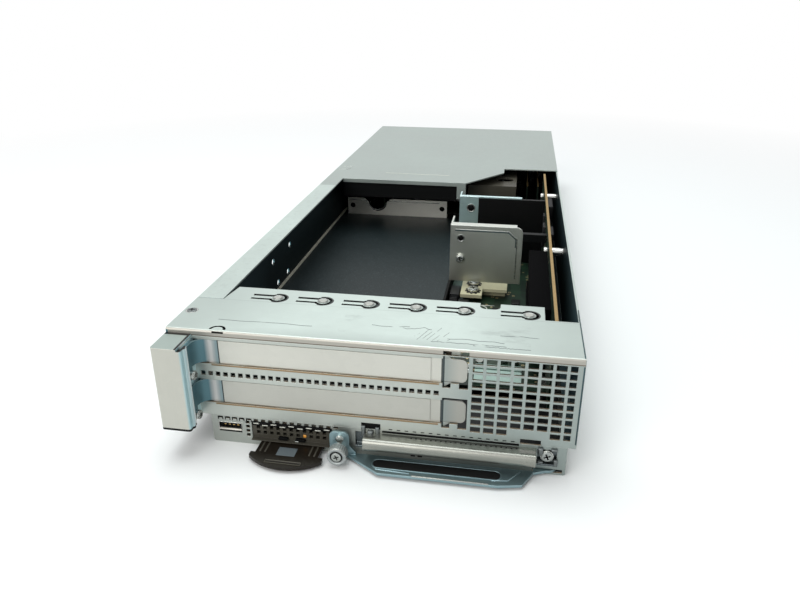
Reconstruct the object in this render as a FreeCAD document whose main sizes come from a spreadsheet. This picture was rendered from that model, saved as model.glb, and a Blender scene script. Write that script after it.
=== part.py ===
import FreeCAD, Part
import math
import os
import re

import Sketcher

doc = FreeCAD.newDocument("server_node")

# Driving dimensions in millimetres. A "start", "drop" or "setback" is measured from the
# node's left side, its top and its front face, and an "inset" from its right side.
SIZES = {
    # Whole node: a wide upper tray on a narrower lower unit
    "node_width": 182.5,
    "node_height": 58.0,
    "node_depth": 512.0,
    "lower_height": 14.5,
    "lower_inset_left": 16.6,
    "lower_inset_right": 3.6,
    "sheet": 1.0,
    "bend": 1.2,
    "fit": 0.3,
    # Left wall with its top rail
    "rail_width": 13.0,
    "rail_setback": 34.2,
    "rail_gap": 2.4,
    "wall_slot_length": 4.6,
    "wall_slot_width": 4.0,
    "wall_slot_drop": 20.6,
    "wall_slot_step": 16.8,
    "wall_slot_setback": 135.7,
    "wall_slot_spread": 34.0,
    "wall_slot_inset": 7.0,
    "wall_flange": 3.0,
    # Front top plate with its six spring fingers
    "plate_depth": 49.5,
    "plate_step_depth": 35.0,
    "plate_step_width": 15.8,
    "plate_edge_gap": 0.2,
    "plate_notch_inset": 36.3,
    "plate_notch_width": 9.5,
    "plate_notch_depth": 6.5,
    "plate_notch_round": 3.0,
    "front_lip": 3.0,
    "finger_start": 39.0,
    "finger_row_inset": 53.1,
    "finger_count": 5,
    "finger_side_inset": 23.1,
    "finger_setback": 39.2,
    "finger_head": 3.1,
    "finger_slit": 1.4,
    "finger_stem": 13.0,
    "finger_half_width": 1.2,
    "finger_side_slit": 1.6,
    "finger_dimple": 1.9,
    "finger_dimple_rise": 0.4,
    "edge_tongue_start": 23.5,
    "edge_tongue_setback": 1.6,
    "edge_tongue": 2.6,
    "edge_tongue_slit": 1.2,
    "plate_screw_inset": 3.9,
    "plate_screw_setback": 19.0,
    # Corner guard in front of the left wall
    "guard_width": 13.8,
    "guard_reach": 15.5,
    "guard_drop": 2.4,
    "guard_side": 6.2,
    "guard_flap_gap": 1.0,
    "guard_bead_inset": 2.6,
    "guard_bead_width": 2.4,
    "guard_bead_radius": 1.5,
    # Front face: two card slots and the grille
    "slot_drop": 10.63,
    "slot_pitch": 20.32,
    "slot_opening": 12.06,
    "slot_end_inset": 58.5,
    "tongue_window": 11.0,
    "tongue_window_rise": 1.2,
    "tongue_window_fall": 2.1,
    "window_tab_inset": 3.5,
    "window_tab_width": 3.6,
    "window_tab_height": 2.4,
    "strip_hole": 2.2,
    "strip_pitch": 3.54,
    "strip_start": 14.15,
    "strip_drop": 21.65,
    "flange_reach": 12.0,
    "grille_inset": 45.9,
    "grille_drop": 3.5,
    "grille_pitch": 5.7,
    "grille_row_pitch": 3.74,
    "grille_hole_width": 4.4,
    "grille_hole_height": 2.8,
    "grille_last_width": 3.0,
    "grille_columns": 8,
    "grille_rows": 9,
    "face_notch_inset": 24.0,
    "face_notch_width": 8.9,
    "face_notch_rise": 2.5,
    # Slot covers
    "cover_sheet": 0.8,
    "cover_height": 16.0,
    "cover_end_gap": 0.6,
    "cover_bend_radius": 5.5,
    "cover_tab_length": 6.5,
    "cover_ear_fall": 5.4,
    "cover_screw_fall": 2.7,
    "cover_screw_gap": 0.1,
    "cover_screw_head": 2.2,
    "tongue_height": 11.0,
    "tongue_round": 2.5,
    "emboss_start": 23.5,
    "emboss_end_gap": 4.5,
    "emboss_rise": 0.5,
    "emboss_margin": 0.5,
    # Card bay
    "side_bay_width": 72.5,
    "rear_bay_depth": 180.0,
    "liner": 0.5,
    "rear_bracket_gap": 13.0,
    "rear_bracket_start": 6.0,
    "rear_bracket_side_gap": 17.5,
    "rear_bracket_height": 15.0,
    "rear_bracket_foot": 9.0,
    "rear_bracket_hole_inset": 4.25,
    "rear_bracket_hole_rise": 8.0,
    "rear_bracket_notch": 20.4,
    "rear_bracket_notch_radius": 8.0,
    "rear_bracket_notch_flare": 3.9,
    "rear_bracket_notch_floor": 3.7,
    "rear_bracket_hole": 2.2,
    # Rear cover
    "cover_leg_length": 22.0,
    "rear_cover_depth": 236.0,
    "rear_cover_slant_run": 28.0,
    "rear_cover_slant_depth": 39.0,
    "rear_cover_right_depth": 182.0,
    "rear_cover_lip": 2.0,
    "rear_cover_post_width": 7.0,
    "rear_cover_post_drop": 12.0,
    "baffle_drop": 14.0,
    "baffle_setback": 3.0,
    # Brackets beside the card bay
    "riser_setback": 180.0,
    "riser_width": 47.0,
    "riser_drop": 3.4,
    "riser_flange": 20.0,
    "riser_lip": 6.0,
    "riser_round": 4.0,
    "riser_hole_inset": 6.9,
    "riser_hole_drop": 8.8,
    "riser_hole_pitch": 14.0,
    "support_setback": 247.0,
    "support_width": 14.0,
    "support_drop": 2.4,
    "support_flange": 14.0,
    "support_lip_length": 45.5,
    "support_lip": 3.0,
    "support_hole_drop": 8.6,
    "support_hole_inset": 8.5,
    "guide_thickness": 2.4,
    "guide_drop": 3.4,
    "brace_depth": 4.0,
    "brace_height": 5.0,
    # Boards
    "board": 1.6,
    "board_standoff": 3.4,
    "board_standoff_radius": 3.0,
    "board_setback": 60.0,
    "board_bay_gap": 6.0,
    "board_side_gap": 2.0,
    "board_rear_gap": 24.0,
    "board_hole_inset": 6.0,
    "board_screw_length": 4.5,
    "side_board_gap": 8.7,
    "side_board_setback": 36.0,
    "side_board_rear_gap": 186.0,
    "side_board_drop": 2.2,
    "side_post_radius": 2.6,
    "side_post_setback": 168.0,
    "side_post_pitch": 130.0,
    "side_post_drop": 14.0,
    "riser_socket_setback": 84.0,
    "riser_socket_length": 116.0,
    "riser_socket_width": 7.6,
    "riser_socket_height": 8.0,
    "riser_socket_groove": 5.0,
    "card_socket_setback": 72.0,
    "card_socket_end": 3.0,
    "card_socket_length": 89.0,
    "card_socket_height": 7.5,
    "card_socket_reach": 11.0,
    "card_socket_groove": 1.9,
    "card_socket_groove_depth": 8.0,
    "card_socket_drop": 15.0,
    "power_socket_gap": 8.0,
    "power_socket_setback": 164.0,
    "power_socket_width": 30.0,
    "power_socket_depth": 25.5,
    "power_socket_height": 6.6,
    "power_socket_plate": 2.2,
    "power_socket_arm_width": 14.0,
    "power_socket_bar_depth": 14.0,
    "power_socket_foot_depth": 9.0,
    "socket_screw_radius": 3.6,
    "socket_screw_inset": 7.9,
    "socket_screw_setback": 6.8,
    "socket_screw_pitch": 12.0,
    # Screws
    "screw_radius": 1.5,
    "screw_head": 2.8,
    "screw_head_height": 1.8,
    "play": 0.1,
    "screw_length": 5.0,
    # Lower front: port, status panel, buttons and label tab
    "port_start": 19.6,
    "port_width": 11.8,
    "port_height": 4.6,
    "port_rise": 6.4,
    "port_depth": 14.0,
    "port_wall": 0.3,
    "port_tongue": 1.6,
    "port_tongue_gap": 0.6,
    "port_tongue_setback": 1.5,
    "port_board_depth": 22.0,
    "port_post_radius": 2.0,
    "vent_width": 2.0,
    "vent_height": 1.0,
    "vent_pitch": 3.45,
    "vent_count": 17,
    "vent_start": 20.0,
    "vent_drop": 0.6,
    "side_vent_start": 33.2,
    "side_vent_width": 1.8,
    "side_vent_height": 1.5,
    "side_vent_pitch": 2.3,
    "side_vent_count": 4,
    "side_vent_rise": 4.2,
    "status_start": 36.0,
    "status_width": 38.4,
    "status_rise": 3.5,
    "status_height": 9.2,
    "status_recess": 0.3,
    "status_flange": 1.0,
    "status_lip": 2.0,
    "status_lip_height": 0.4,
    "status_hole": 1.7,
    "status_hole_pitch": 3.15,
    "status_hole_row_pitch": 2.65,
    "status_hole_count": 11,
    "status_hole_start": 2.25,
    "status_hole_rise": 2.5,
    "button_length": 4.6,
    "button_height": 1.3,
    "button_start": 12.7,
    "button_pitch": 8.2,
    "button_gap": 0.2,
    "button_rise": 0.7,
    "button_reach": 0.9,
    "button_stem": 3.2,
    "button_travel": 1.0,
    "button_flange": 0.7,
    "switch_depth": 1.4,
    "tab_start": 40.6,
    "tab_width": 29.3,
    "tab_thickness": 1.8,
    "tab_inside": 34.0,
    "tab_shoulder": 9.5,
    "tab_ear": 2.2,
    "tab_bow": 6.8,
    "tab_ear_length": 2.5,
    "tab_guide_width": 1.6,
    "tab_guide_length": 36.0,
    "tab_guide_lip": 1.0,
    "tab_guide_roof": 0.8,
    # Adapter bar
    "bar_start": 89.8,
    "bar_end_inset": 16.9,
    "bar_reach": 7.0,
    "bar_drop": 45.0,
    "bar_height": 6.4,
    "bar_sheet": 0.8,
    "bar_round": 2.4,
    "bar_window_width": 8.5,
    "bar_window_height": 7.6,
    "bar_window_rise": 5.2,
    "bar_window_gap": 0.6,
    "bar_clip_width": 4.0,
    "bar_hook": 1.6,
    "bar_vent_width": 2.2,
    "bar_vent_height": 1.2,
    "bar_vent_pitch": 3.4,
    "bar_vent_rise": 4.0,
    # Release handle
    "handle_sheet": 1.2,
    "handle_reach": 15.0,
    "handle_back": 2.4,
    "handle_front_start": 98.0,
    "handle_front_inset": 32.5,
    "handle_corner_inset": 22.1,
    "handle_corner_reach": 12.8,
    "handle_left": 82.0,
    "handle_left_reach": 4.2,
    "handle_pivot_inset": 12.1,
    "handle_pivot_setback": 4.2,
    "handle_eye": 5.4,
    "handle_tab_start": 74.0,
    "handle_tab_width": 9.0,
    "handle_tab_top": 13.8,
    "handle_tab_round": 2.5,
    "handle_neck": 3.0,
    "handle_strip_start": 95.0,
    "handle_strip_end_inset": 31.5,
    "handle_strip_width": 5.4,
    "handle_strip_thickness": 0.3,
    "handle_strip_reach": 8.4,
    "pivot_radius": 2.5,
    "pivot_head": 3.1,
    "pivot_play": 0.05,
    "thumb_start": 79.0,
    "thumb_rise": 6.0,
    "thumb_radius": 4.3,
    "thumb_length": 4.6,
    "thumb_core": 1.5,
    "ferrule_radius": 2.8,
    "ferrule_length": 3.0,
    "collar_radius": 2.3,
    "collar_length": 0.5,
    "rivet_rise": 10.8,
    "rivet_radius": 1.8,
    "rivet_core": 1.0,
    "rivet_height": 1.2,
    # Processor and memory under the rear cover
    "cpu_rear_gap": 81.0,
    "cpu_socket_width": 78.0,
    "cpu_socket_depth": 58.0,
    "cpu_socket_height": 3.0,
    "cpu_width": 52.0,
    "cpu_depth": 45.0,
    "cpu_height": 3.2,
    "sink_side_gap": 9.3,
    "sink_depth": 90.0,
    "sink_base": 5.0,
    "sink_fins": 26,
    "sink_fin": 0.6,
    "sink_height": 34.0,
    "memory_left_start": 30.0,
    "memory_right_inset": 26.5,
    "memory_pitch": 9.0,
    "memory_rear_gap": 1.0,
    "memory_length": 133.0,
    "memory_socket_width": 6.4,
    "memory_socket_height": 7.0,
    "memory_groove_depth": 4.0,
    "memory_module": 1.3,
    "memory_height": 31.0,
    "memory_socket_end": 3.0,
    # Shroud over the board behind the brackets
    "shroud_gap": 1.2,
    "shroud_width": 38.5,
    "shroud_setback": 300.0,
    "shroud_depth": 78.0,
    "shroud_drop": 7.3,
    "shroud_wall": 1.2,
    "shroud_slot_start": 22.0,
    "shroud_slot_setback": 16.0,
    "shroud_slot_length": 11.0,
    "shroud_slot_width": 14.0,
    # Rear wall and its connectors
    "link_width": 44.0,
    "link_gap": 22.0,
    "link_power_width": 30.0,
    "link_height": 20.0,
    "link_depth": 30.0,
    "link_cavity_depth": 16.0,
    "link_wall": 2.0,
}

# Places worked out from the driving dimensions
PLACES = {
    "left": "-node_width / 2",
    "right": "node_width / 2",
    "front": "-node_depth / 2",
    "rear": "node_depth / 2",
    "lower_left": "left + lower_inset_left",
    "lower_right": "right - lower_inset_right",
    "pan_width": "node_width - lower_inset_left - lower_inset_right",
    "pan_length": "node_depth - 2 * sheet",
    "tray_height": "node_height - lower_height",
    "bay_width": "node_width - side_bay_width",
    "bay_depth": "node_depth - rear_bay_depth",
    "floor_top": "lower_height + sheet",
    "liner_top": "floor_top + liner",
    "tab_face": "guard_width - sheet",
    "flange_start": "tab_face - cover_sheet - sheet",
    "face_width": "node_width - flange_start - plate_edge_gap",
    "guard_height": "tray_height - guard_drop",
    "face_height": "tray_height - front_lip",
    "slot_rise": "tray_height - slot_drop",
    "strip_rise": "tray_height - strip_drop - strip_hole / 2",
    "grille_rise": "tray_height - grille_drop - grille_hole_height",
    "finger_pitch": "(node_width - finger_row_inset - finger_start) / (finger_count - 1)",
    "slot_end": "node_width - slot_end_inset",
    "tongue_window_end": "slot_end + tongue_window",
    "strip_count": "floor((slot_end - strip_start + strip_pitch - strip_hole) / strip_pitch)",
    "grille_start": "node_width - grille_inset",
    "face_notch_start": "node_width - face_notch_inset",
    "cover_end": "slot_end - cover_end_gap",
    "tongue_tip": "tongue_window_end - cover_end_gap",
    "emboss_end": "cover_end - emboss_end_gap",
    "rear_bracket_setback": "bay_depth - rear_bracket_gap",
    "rear_bracket_width": "bay_width - rear_bracket_start - rear_bracket_side_gap",
    "rear_bracket_hole_pitch": "rear_bracket_width - 2 * rear_bracket_hole_inset",
    "rear_cover_setback": "node_depth - rear_cover_depth",
    "cover_leg_setback": "rear_cover_setback - cover_leg_length",
    "rear_cover_front_width": "bay_width + sheet",
    "rear_cover_right_setback": "node_depth - rear_cover_right_depth",
    "board_wide_setback": "bay_depth + board_bay_gap",
    "board_bottom": "sheet + board_standoff",
    "board_top": "board_bottom + board",
    "side_board_left": "right - sheet - side_board_gap - board",
    "side_board_length": "node_depth - side_board_rear_gap - side_board_setback",
    "power_socket_start": "bay_width + power_socket_gap",
    "handle_bottom": "sheet + fit",
    "handle_top": "handle_bottom + handle_sheet",
    "tab_bottom": "sheet + fit",
    "tab_top": "tab_bottom + tab_thickness",
    "port_board_bottom": "port_rise + play - board",
    "button_bottom": "status_rise + button_rise",
    "button_back": "sheet + button_stem",
    "switch_back": "button_back + button_travel + fit + switch_depth",
    "bar_bottom": "node_height - bar_drop - bar_height",
    "bar_width": "node_width - bar_start - bar_end_inset",
    "bar_vent_count": "floor(bar_width / bar_vent_pitch) - 1",
    "handle_front_end": "node_width - handle_front_inset",
    "handle_corner": "node_width - handle_corner_inset",
    "handle_pivot_start": "node_width - handle_pivot_inset",
    "handle_strip_length": "node_width - handle_strip_end_inset - handle_strip_start",
    "memory_left_end": "memory_left_start + memory_pitch + memory_socket_width",
    "memory_right_start": "node_width - memory_right_inset",
    "memory_setback": "node_depth - link_depth - memory_rear_gap - memory_socket_end - memory_length",
    "sink_width": "memory_right_start - memory_left_end - 2 * sink_side_gap",
    "cpu_start": "(memory_left_end + memory_right_start) / 2",
    "cpu_setback": "node_depth - cpu_rear_gap",
    "cpu_top": "board_top + cpu_socket_height + cpu_height",
    "groove_floor": "board_top + riser_socket_height - riser_socket_groove",
    "screw_hole": "screw_radius + play",
    "cover_outer": "cover_bend_radius + cover_sheet",
    "cover_bend_front": "cover_bend_radius - sheet",
    "cover_screw_reach": "cover_bend_front + cover_screw_gap + cover_screw_head",
    "cover_screw_rise": "slot_rise - slot_opening / 2 - cover_screw_fall",
    "link_start": "(node_width - link_width - link_gap - link_power_width) / 2",
    "link_power_start": "link_start + link_width + link_gap",
}

WORD = re.compile(r"[a-z][a-z_]*")
AXIS_TURNS = {
    "x": FreeCAD.Rotation(FreeCAD.Vector(0, 1, 0), 90),
    "y": FreeCAD.Rotation(FreeCAD.Vector(1, 0, 0), -90),
    "z": FreeCAD.Rotation(),
}
# Each drawing plane: its origin plane, and whether its normal points to the positive side
PLANES = {"plan": ("XY_Plane", True), "face": ("XZ_Plane", False), "side": ("YZ_Plane", True)}
SUBPARTS = []

table = doc.addObject("Spreadsheet::Sheet", "sizes")
for line, (alias, size) in enumerate(SIZES.items(), 1):
    table.set(f"A{line}", alias)
    table.set(f"B{line}", str(size))
    table.setAlias(f"B{line}", alias)
doc.recompute()


def bound(text):
    """Expression text with places spelt out and sizes taken from the sheet."""
    def spell(match):
        word = match.group(0)
        if word in PLACES:
            return "(" + bound(PLACES[word]) + ")"
        return "sizes." + word if word in SIZES else word
    return WORD.sub(spell, str(text))


def value(text):
    """Number that an expression gives now."""
    result = table.evalExpression(bound(text))
    return float(getattr(result, "Value", result))


def count(alias):
    """Whole number held in the sheet."""
    return int(round(value(alias)))


def place(thing, x, y, z):
    for axis, text in zip("xyz", (x, y, z)):
        thing.setExpression(f"Placement.Base.{axis}", bound(text))


def subpart(thing, label):
    thing.Label = label
    SUBPARTS.append(thing)
    return thing


def box(name, x, y, z, length, width, height):
    solid = doc.addObject("Part::Box", name)
    place(solid, x, y, z)
    for side, text in (("Length", length), ("Width", width), ("Height", height)):
        solid.setExpression(side, bound(text))
    return solid


def cylinder(name, x, y, z, axis, radius, length):
    solid = doc.addObject("Part::Cylinder", name)
    solid.Placement = FreeCAD.Placement(FreeCAD.Vector(), AXIS_TURNS[axis])
    place(solid, x, y, z)
    solid.setExpression("Radius", bound(radius))
    solid.setExpression("Height", bound(length))
    return solid


def fuse(name, *solids):
    joined = doc.addObject("Part::MultiFuse", name)
    joined.Shapes = list(solids)
    return joined


def cut(name, base, *tools):
    result = doc.addObject("Part::Cut", name)
    result.Base = base
    result.Tool = tools[0] if len(tools) == 1 else fuse(name + "_tools", *tools)
    return result


def group(name, *solids):
    """Several like solids in one node."""
    several = doc.addObject("Part::Compound", name)
    several.Links = list(solids)
    return several


def disc(x, y, radius):
    return {"disc": (x, y, radius)}


def ring(*points):
    """Closed outline. A point (x, y, radius, side) starts an arc whose centre is on that side of the way."""
    return {"ring": points}


def rectangle(x, y, width, height):
    return ring((x, y), (f"{x} + {width}", y), (f"{x} + {width}", f"{y} + {height}"), (x, f"{y} + {height}"))


def oblong(x, y, length, width):
    """Slot with round ends, by its lower left corner, made of two straight sides and four quarter arcs."""
    radius = f"({width}) / 2"
    far = f"{x} + {length}"
    middle = f"{y} + {radius}"
    upper = f"{y} + {width}"
    return ring(
        (f"{x} + {radius}", y), (f"{far} - {radius}", y, radius, "left"), (far, middle, radius, "left"),
        (f"{far} - {radius}", upper), (f"{x} + {radius}", upper, radius, "left"), (x, middle, radius, "left"))


def arc_between(start, end, radius, side):
    """Arc that bulges away from its centre on the given side, and whether it runs backwards."""
    turn = 1 if side == "left" else -1
    chord = end - start
    sideways = FreeCAD.Vector(-chord.y, chord.x, 0).normalize() * turn
    centre = (start + end) / 2 + sideways * math.sqrt(max(radius ** 2 - (chord.Length / 2) ** 2, 0))
    first, last = (start, end) if side == "left" else (end, start)
    angles = [math.atan2(point.y - centre.y, point.x - centre.x) for point in (first, last)]
    if angles[1] < angles[0]:
        angles[1] += 2 * math.pi
    circle = Part.Circle(centre, FreeCAD.Vector(0, 0, 1), radius)
    return Part.ArcOfCircle(circle, *angles), side != "left"


class Piece:
    """One formed part: a body whose sketches are measured from its own corner."""

    def __init__(self, label, x, y, z):
        self.body = subpart(doc.addObject("PartDesign::Body", label), label)
        place(self.body, x, y, z)

    def origin(self, role):
        return next(feature for feature in self.body.Origin.OriginFeatures if feature.Role == role)

    def dimension(self, sketch, constraints):
        """Adds constraints, each with the expression that drives it or None."""
        first = sketch.ConstraintCount
        sketch.addConstraint([constraint for constraint, _ in constraints])
        for index, (_, text) in enumerate(constraints, first):
            if text is not None:
                sketch.setExpression(f"Constraints[{index}]", bound(text))

    def draw_disc(self, sketch, x, y, radius):
        centre = FreeCAD.Vector(value(x), value(y), 0)
        edge = sketch.addGeometry(Part.Circle(centre, FreeCAD.Vector(0, 0, 1), value(radius)))
        self.dimension(sketch, [
            (Sketcher.Constraint("DistanceX", -1, 1, edge, 3, centre.x), x),
            (Sketcher.Constraint("DistanceY", -1, 1, edge, 3, centre.y), y),
            (Sketcher.Constraint("Radius", edge, value(radius)), radius)])

    def draw_ring(self, sketch, points):
        corners = [FreeCAD.Vector(value(point[0]), value(point[1]), 0) for point in points]
        ends = []
        radii = []
        for index, point in enumerate(points):
            start, end = corners[index], corners[(index + 1) % len(points)]
            backwards = False
            if len(point) == 4:
                curve, backwards = arc_between(start, end, value(point[2]), point[3])
            else:
                curve = Part.LineSegment(start, end)
            edge = sketch.addGeometry(curve)
            ends.append((edge, 2, 1) if backwards else (edge, 1, 2))
            if len(point) == 4:
                radii.append((Sketcher.Constraint("Radius", edge, value(point[2])), point[2]))
        constraints = []
        for index, (edge, first, last) in enumerate(ends):
            following = ends[(index + 1) % len(ends)]
            meeting = Sketcher.Constraint("Coincident", edge, last, following[0], following[1])
            constraints.append((meeting, None))
            for kind, text, number in (("DistanceX", points[index][0], corners[index].x),
                                       ("DistanceY", points[index][1], corners[index].y)):
                constraints.append((Sketcher.Constraint(kind, -1, 1, edge, first, number), text))
        self.dimension(sketch, constraints + radii)

    def sketch(self, plane, loops, offset):
        role, forward = PLANES[plane]
        drawing = self.body.newObject("Sketcher::SketchObject", f"{self.body.Label}_sketch")
        drawing.AttachmentSupport = [(self.origin(role), "")]
        drawing.MapMode = "FlatFace"
        drawing.setExpression("AttachmentOffset.Base.z", bound(offset if forward else f"-({offset})"))
        for loop in loops:
            if "disc" in loop:
                self.draw_disc(drawing, *loop["disc"])
            else:
                self.draw_ring(drawing, loop["ring"])
        return drawing

    def pad(self, plane, loops, length, offset="0"):
        """Material from the drawing towards +X, +Y or +Z."""
        feature = self.body.newObject("PartDesign::Pad", f"{self.body.Label}_pad")
        feature.Profile = self.sketch(plane, loops, offset)
        feature.setExpression("Length", bound(length))
        feature.Reversed = not PLANES[plane][1]
        doc.recompute()
        return feature

    def pocket(self, plane, loops, depth, offset="0"):
        """Removes material from the drawing towards +X, +Y or +Z."""
        before = self.body.Shape.Volume
        feature = self.body.newObject("PartDesign::Pocket", f"{self.body.Label}_pocket")
        feature.Profile = self.sketch(plane, loops, offset)
        feature.setExpression("Length", bound(depth))
        feature.Reversed = PLANES[plane][1]
        doc.recompute()
        if not self.body.Shape.Volume < before:
            raise RuntimeError(f"a pocket of {self.body.Label} cuts nothing")
        return feature

    def repeat(self, features, axis, pitch, number, backwards=False):
        """Copies features along an axis of the body."""
        pattern = self.body.newObject("PartDesign::LinearPattern", f"{self.body.Label}_row")
        pattern.Originals = features
        pattern.Direction = (self.origin(f"{axis}_Axis"), [""])
        pattern.setExpression("Length", bound(f"({pitch}) * ({number} - 1)"))
        pattern.setExpression("Occurrences", bound(number))
        pattern.Reversed = backwards
        self.body.Tip = pattern
        doc.recompute()
        return pattern

    def turn(self, plane, loops, axis):
        """Body of revolution of a drawing about an axis of the body."""
        feature = self.body.newObject("PartDesign::Revolution", f"{self.body.Label}_turn")
        feature.Profile = self.sketch(plane, loops, "0")
        feature.ReferenceAxis = (self.origin(f"{axis}_Axis"), [""])
        feature.Angle = 360
        doc.recompute()
        return feature

    def round_edges(self, radius, axis, corners):
        """Fillets the edges along an axis that pass through the given corners, on the body's own axes."""
        tip = self.body.Tip
        wanted = [[value(text) for text in corner] for corner in corners]
        across = [other for other in "xyz" if other != axis]
        names = []
        for index, edge in enumerate(tip.Shape.Edges, 1):
            start, end = edge.Vertexes[0].Point, edge.Vertexes[-1].Point
            if any(abs(getattr(end, other) - getattr(start, other)) > 1e-6 for other in across):
                continue
            spot = [getattr(start, other) for other in across]
            if any(math.dist(spot, corner) < 1e-4 for corner in wanted):
                names.append(f"Edge{index}")
        feature = self.body.newObject("PartDesign::Fillet", f"{self.body.Label}_round")
        feature.Base = (tip, names)
        feature.setExpression("Radius", bound(radius))
        doc.recompute()
        return feature


def screw(name, x, y, z, axis, length="screw_length", head="screw_head"):
    """Plain screw whose head sits on the point given; the shank runs on along the axis, + or -."""
    sign, line = axis
    along = {"x": 0, "y": 1, "z": 2}[line]
    head_place = [x, y, z]
    shank_place = [x, y, z]
    if sign == "+":
        head_place[along] = f"{head_place[along]} - screw_head_height"
    else:
        shank_place[along] = f"{shank_place[along]} - {length}"
    cap = cylinder(name + "_head", *head_place, line, head, "screw_head_height")
    shank = cylinder(name + "_shank", *shank_place, line, "screw_radius", length)
    return fuse(name, cap, shank)


# Lower unit: a long pan that stands on its flat floor
def lower_pan():
    pan = Piece("lower_pan", "lower_left", "front + sheet", "0")
    inner = "pan_width - sheet"
    pan.pad("face", [ring(
        ("0", "0"), ("pan_width", "0"), ("pan_width", "lower_height"), (inner, "lower_height"),
        (inner, "sheet"), ("sheet", "sheet"), ("sheet", "lower_height"), ("0", "lower_height"))],
        "pan_length")
    pan.round_edges("bend", "y", [("0", "0"), ("pan_width", "0")])


def lower_front_panel():
    panel = Piece("lower_front_panel", "lower_left", "front", "0")
    inset = "lower_inset_left"
    panel.pad("face", [rectangle("0", "0", "pan_width", "lower_height")], "sheet")
    panel.round_edges("bend", "y", [("0", "0"), ("pan_width", "0")])
    window_left = f"bar_start - {inset} - bar_window_gap - bar_clip_width"
    window_right = f"bar_start + bar_width - {inset} + bar_window_gap"
    handle_slot = f"handle_pivot_start - handle_eye - {inset} - fit"
    panel.pocket("face", [
        rectangle(f"port_start - {inset}", "port_rise", "port_width", "port_height"),
        rectangle(f"status_start - {inset}", "status_rise", "status_width", "status_height"),
        rectangle(f"tab_start - {inset} - fit", "sheet", "tab_width + 2 * fit", "tab_thickness + 2 * fit"),
        rectangle(window_left, "bar_window_rise", "bar_clip_width", "bar_window_height"),
        rectangle(window_right, "bar_window_rise", "bar_window_width", "bar_window_height"),
        rectangle(handle_slot, "sheet", f"pan_width - sheet - fit - ({handle_slot})",
                  "handle_sheet + 2 * fit"),
        disc(f"thumb_start - {inset}", "thumb_rise", "thumb_core + play"),
    ], "sheet")
    vent = panel.pocket("face", [rectangle(
        f"vent_start - {inset}", "lower_height - vent_drop - vent_height",
        "vent_width", "vent_height")], "sheet")
    panel.repeat([vent], "X", "vent_pitch", "vent_count")
    side_vent = panel.pocket("face", [rectangle(
        f"side_vent_start - {inset}", "side_vent_rise", "side_vent_width", "side_vent_height")], "sheet")
    panel.repeat([side_vent], "Z", "side_vent_pitch", "side_vent_count")
    bar_vent = panel.pocket("face", [rectangle(
        f"bar_start - {inset} + bar_vent_pitch / 2", "bar_vent_rise",
        "bar_vent_width", "bar_vent_height")], "sheet")
    panel.repeat([bar_vent], "X", "bar_vent_pitch", "bar_vent_count")


# Upper tray: walls, floor and liner
def left_side_wall():
    wall = Piece("left_side_wall", "left", "front", "lower_height")
    wall.pad("face", [rectangle("0", "0", "sheet", "tray_height - sheet")], "node_depth - sheet")
    wall.pad("face", [rectangle("0", "tray_height - sheet", "rail_width", "sheet")],
             "cover_leg_setback - rail_setback - fit", "rail_setback")
    wall.pad("face", [rectangle("sheet", "0", "lower_inset_left", "sheet")],
             "node_depth - sheet - bay_depth - fit", "bay_depth + fit")
    upper = "tray_height - wall_slot_drop - wall_slot_width / 2"
    lower = f"{upper} - wall_slot_step"
    wall.pocket("side", [
        oblong("wall_slot_setback", upper, "wall_slot_length", "wall_slot_width"),
        oblong("wall_slot_setback + wall_slot_spread", upper, "wall_slot_length", "wall_slot_width"),
        oblong("wall_slot_setback + wall_slot_inset", lower, "wall_slot_length", "wall_slot_width"),
        oblong("wall_slot_setback + wall_slot_spread - wall_slot_inset", lower,
               "wall_slot_length", "wall_slot_width"),
    ], "sheet")


def right_side_wall():
    wall = Piece("right_side_wall", "lower_right - sheet", "front + sheet", "lower_height")
    width = "lower_inset_right + sheet"
    wall.pad("face", [ring(
        ("0", "0"), (width, "0"), (width, "tray_height - sheet"), (f"{width} - sheet", "tray_height - sheet"),
        (f"{width} - sheet", "sheet"), ("0", "sheet"))], "pan_length")
    wall.round_edges("bend", "y", [(width, "0")])


def bay_floor():
    floor = Piece("bay_floor", "left + sheet", "front + sheet", "sheet")
    width = "bay_width - sheet"
    under = "lower_height - sheet"
    flange = f"{under} + wall_flange"
    floor.pad("face", [ring(
        ("0", under), (f"{width} - sheet", under), (f"{width} - sheet", "0"), (width, "0"),
        (width, f"{under} + sheet"), ("sheet", f"{under} + sheet"), ("sheet", flange), ("0", flange))],
        "bay_depth - sheet")


def bay_liner():
    subpart(box("bay_liner", "left + 2 * sheet", "front + plate_step_depth", "floor_top",
                "bay_width - 3 * sheet - fit", "rear_bracket_setback - plate_step_depth - fit", "liner"),
            "bay_liner")


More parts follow.
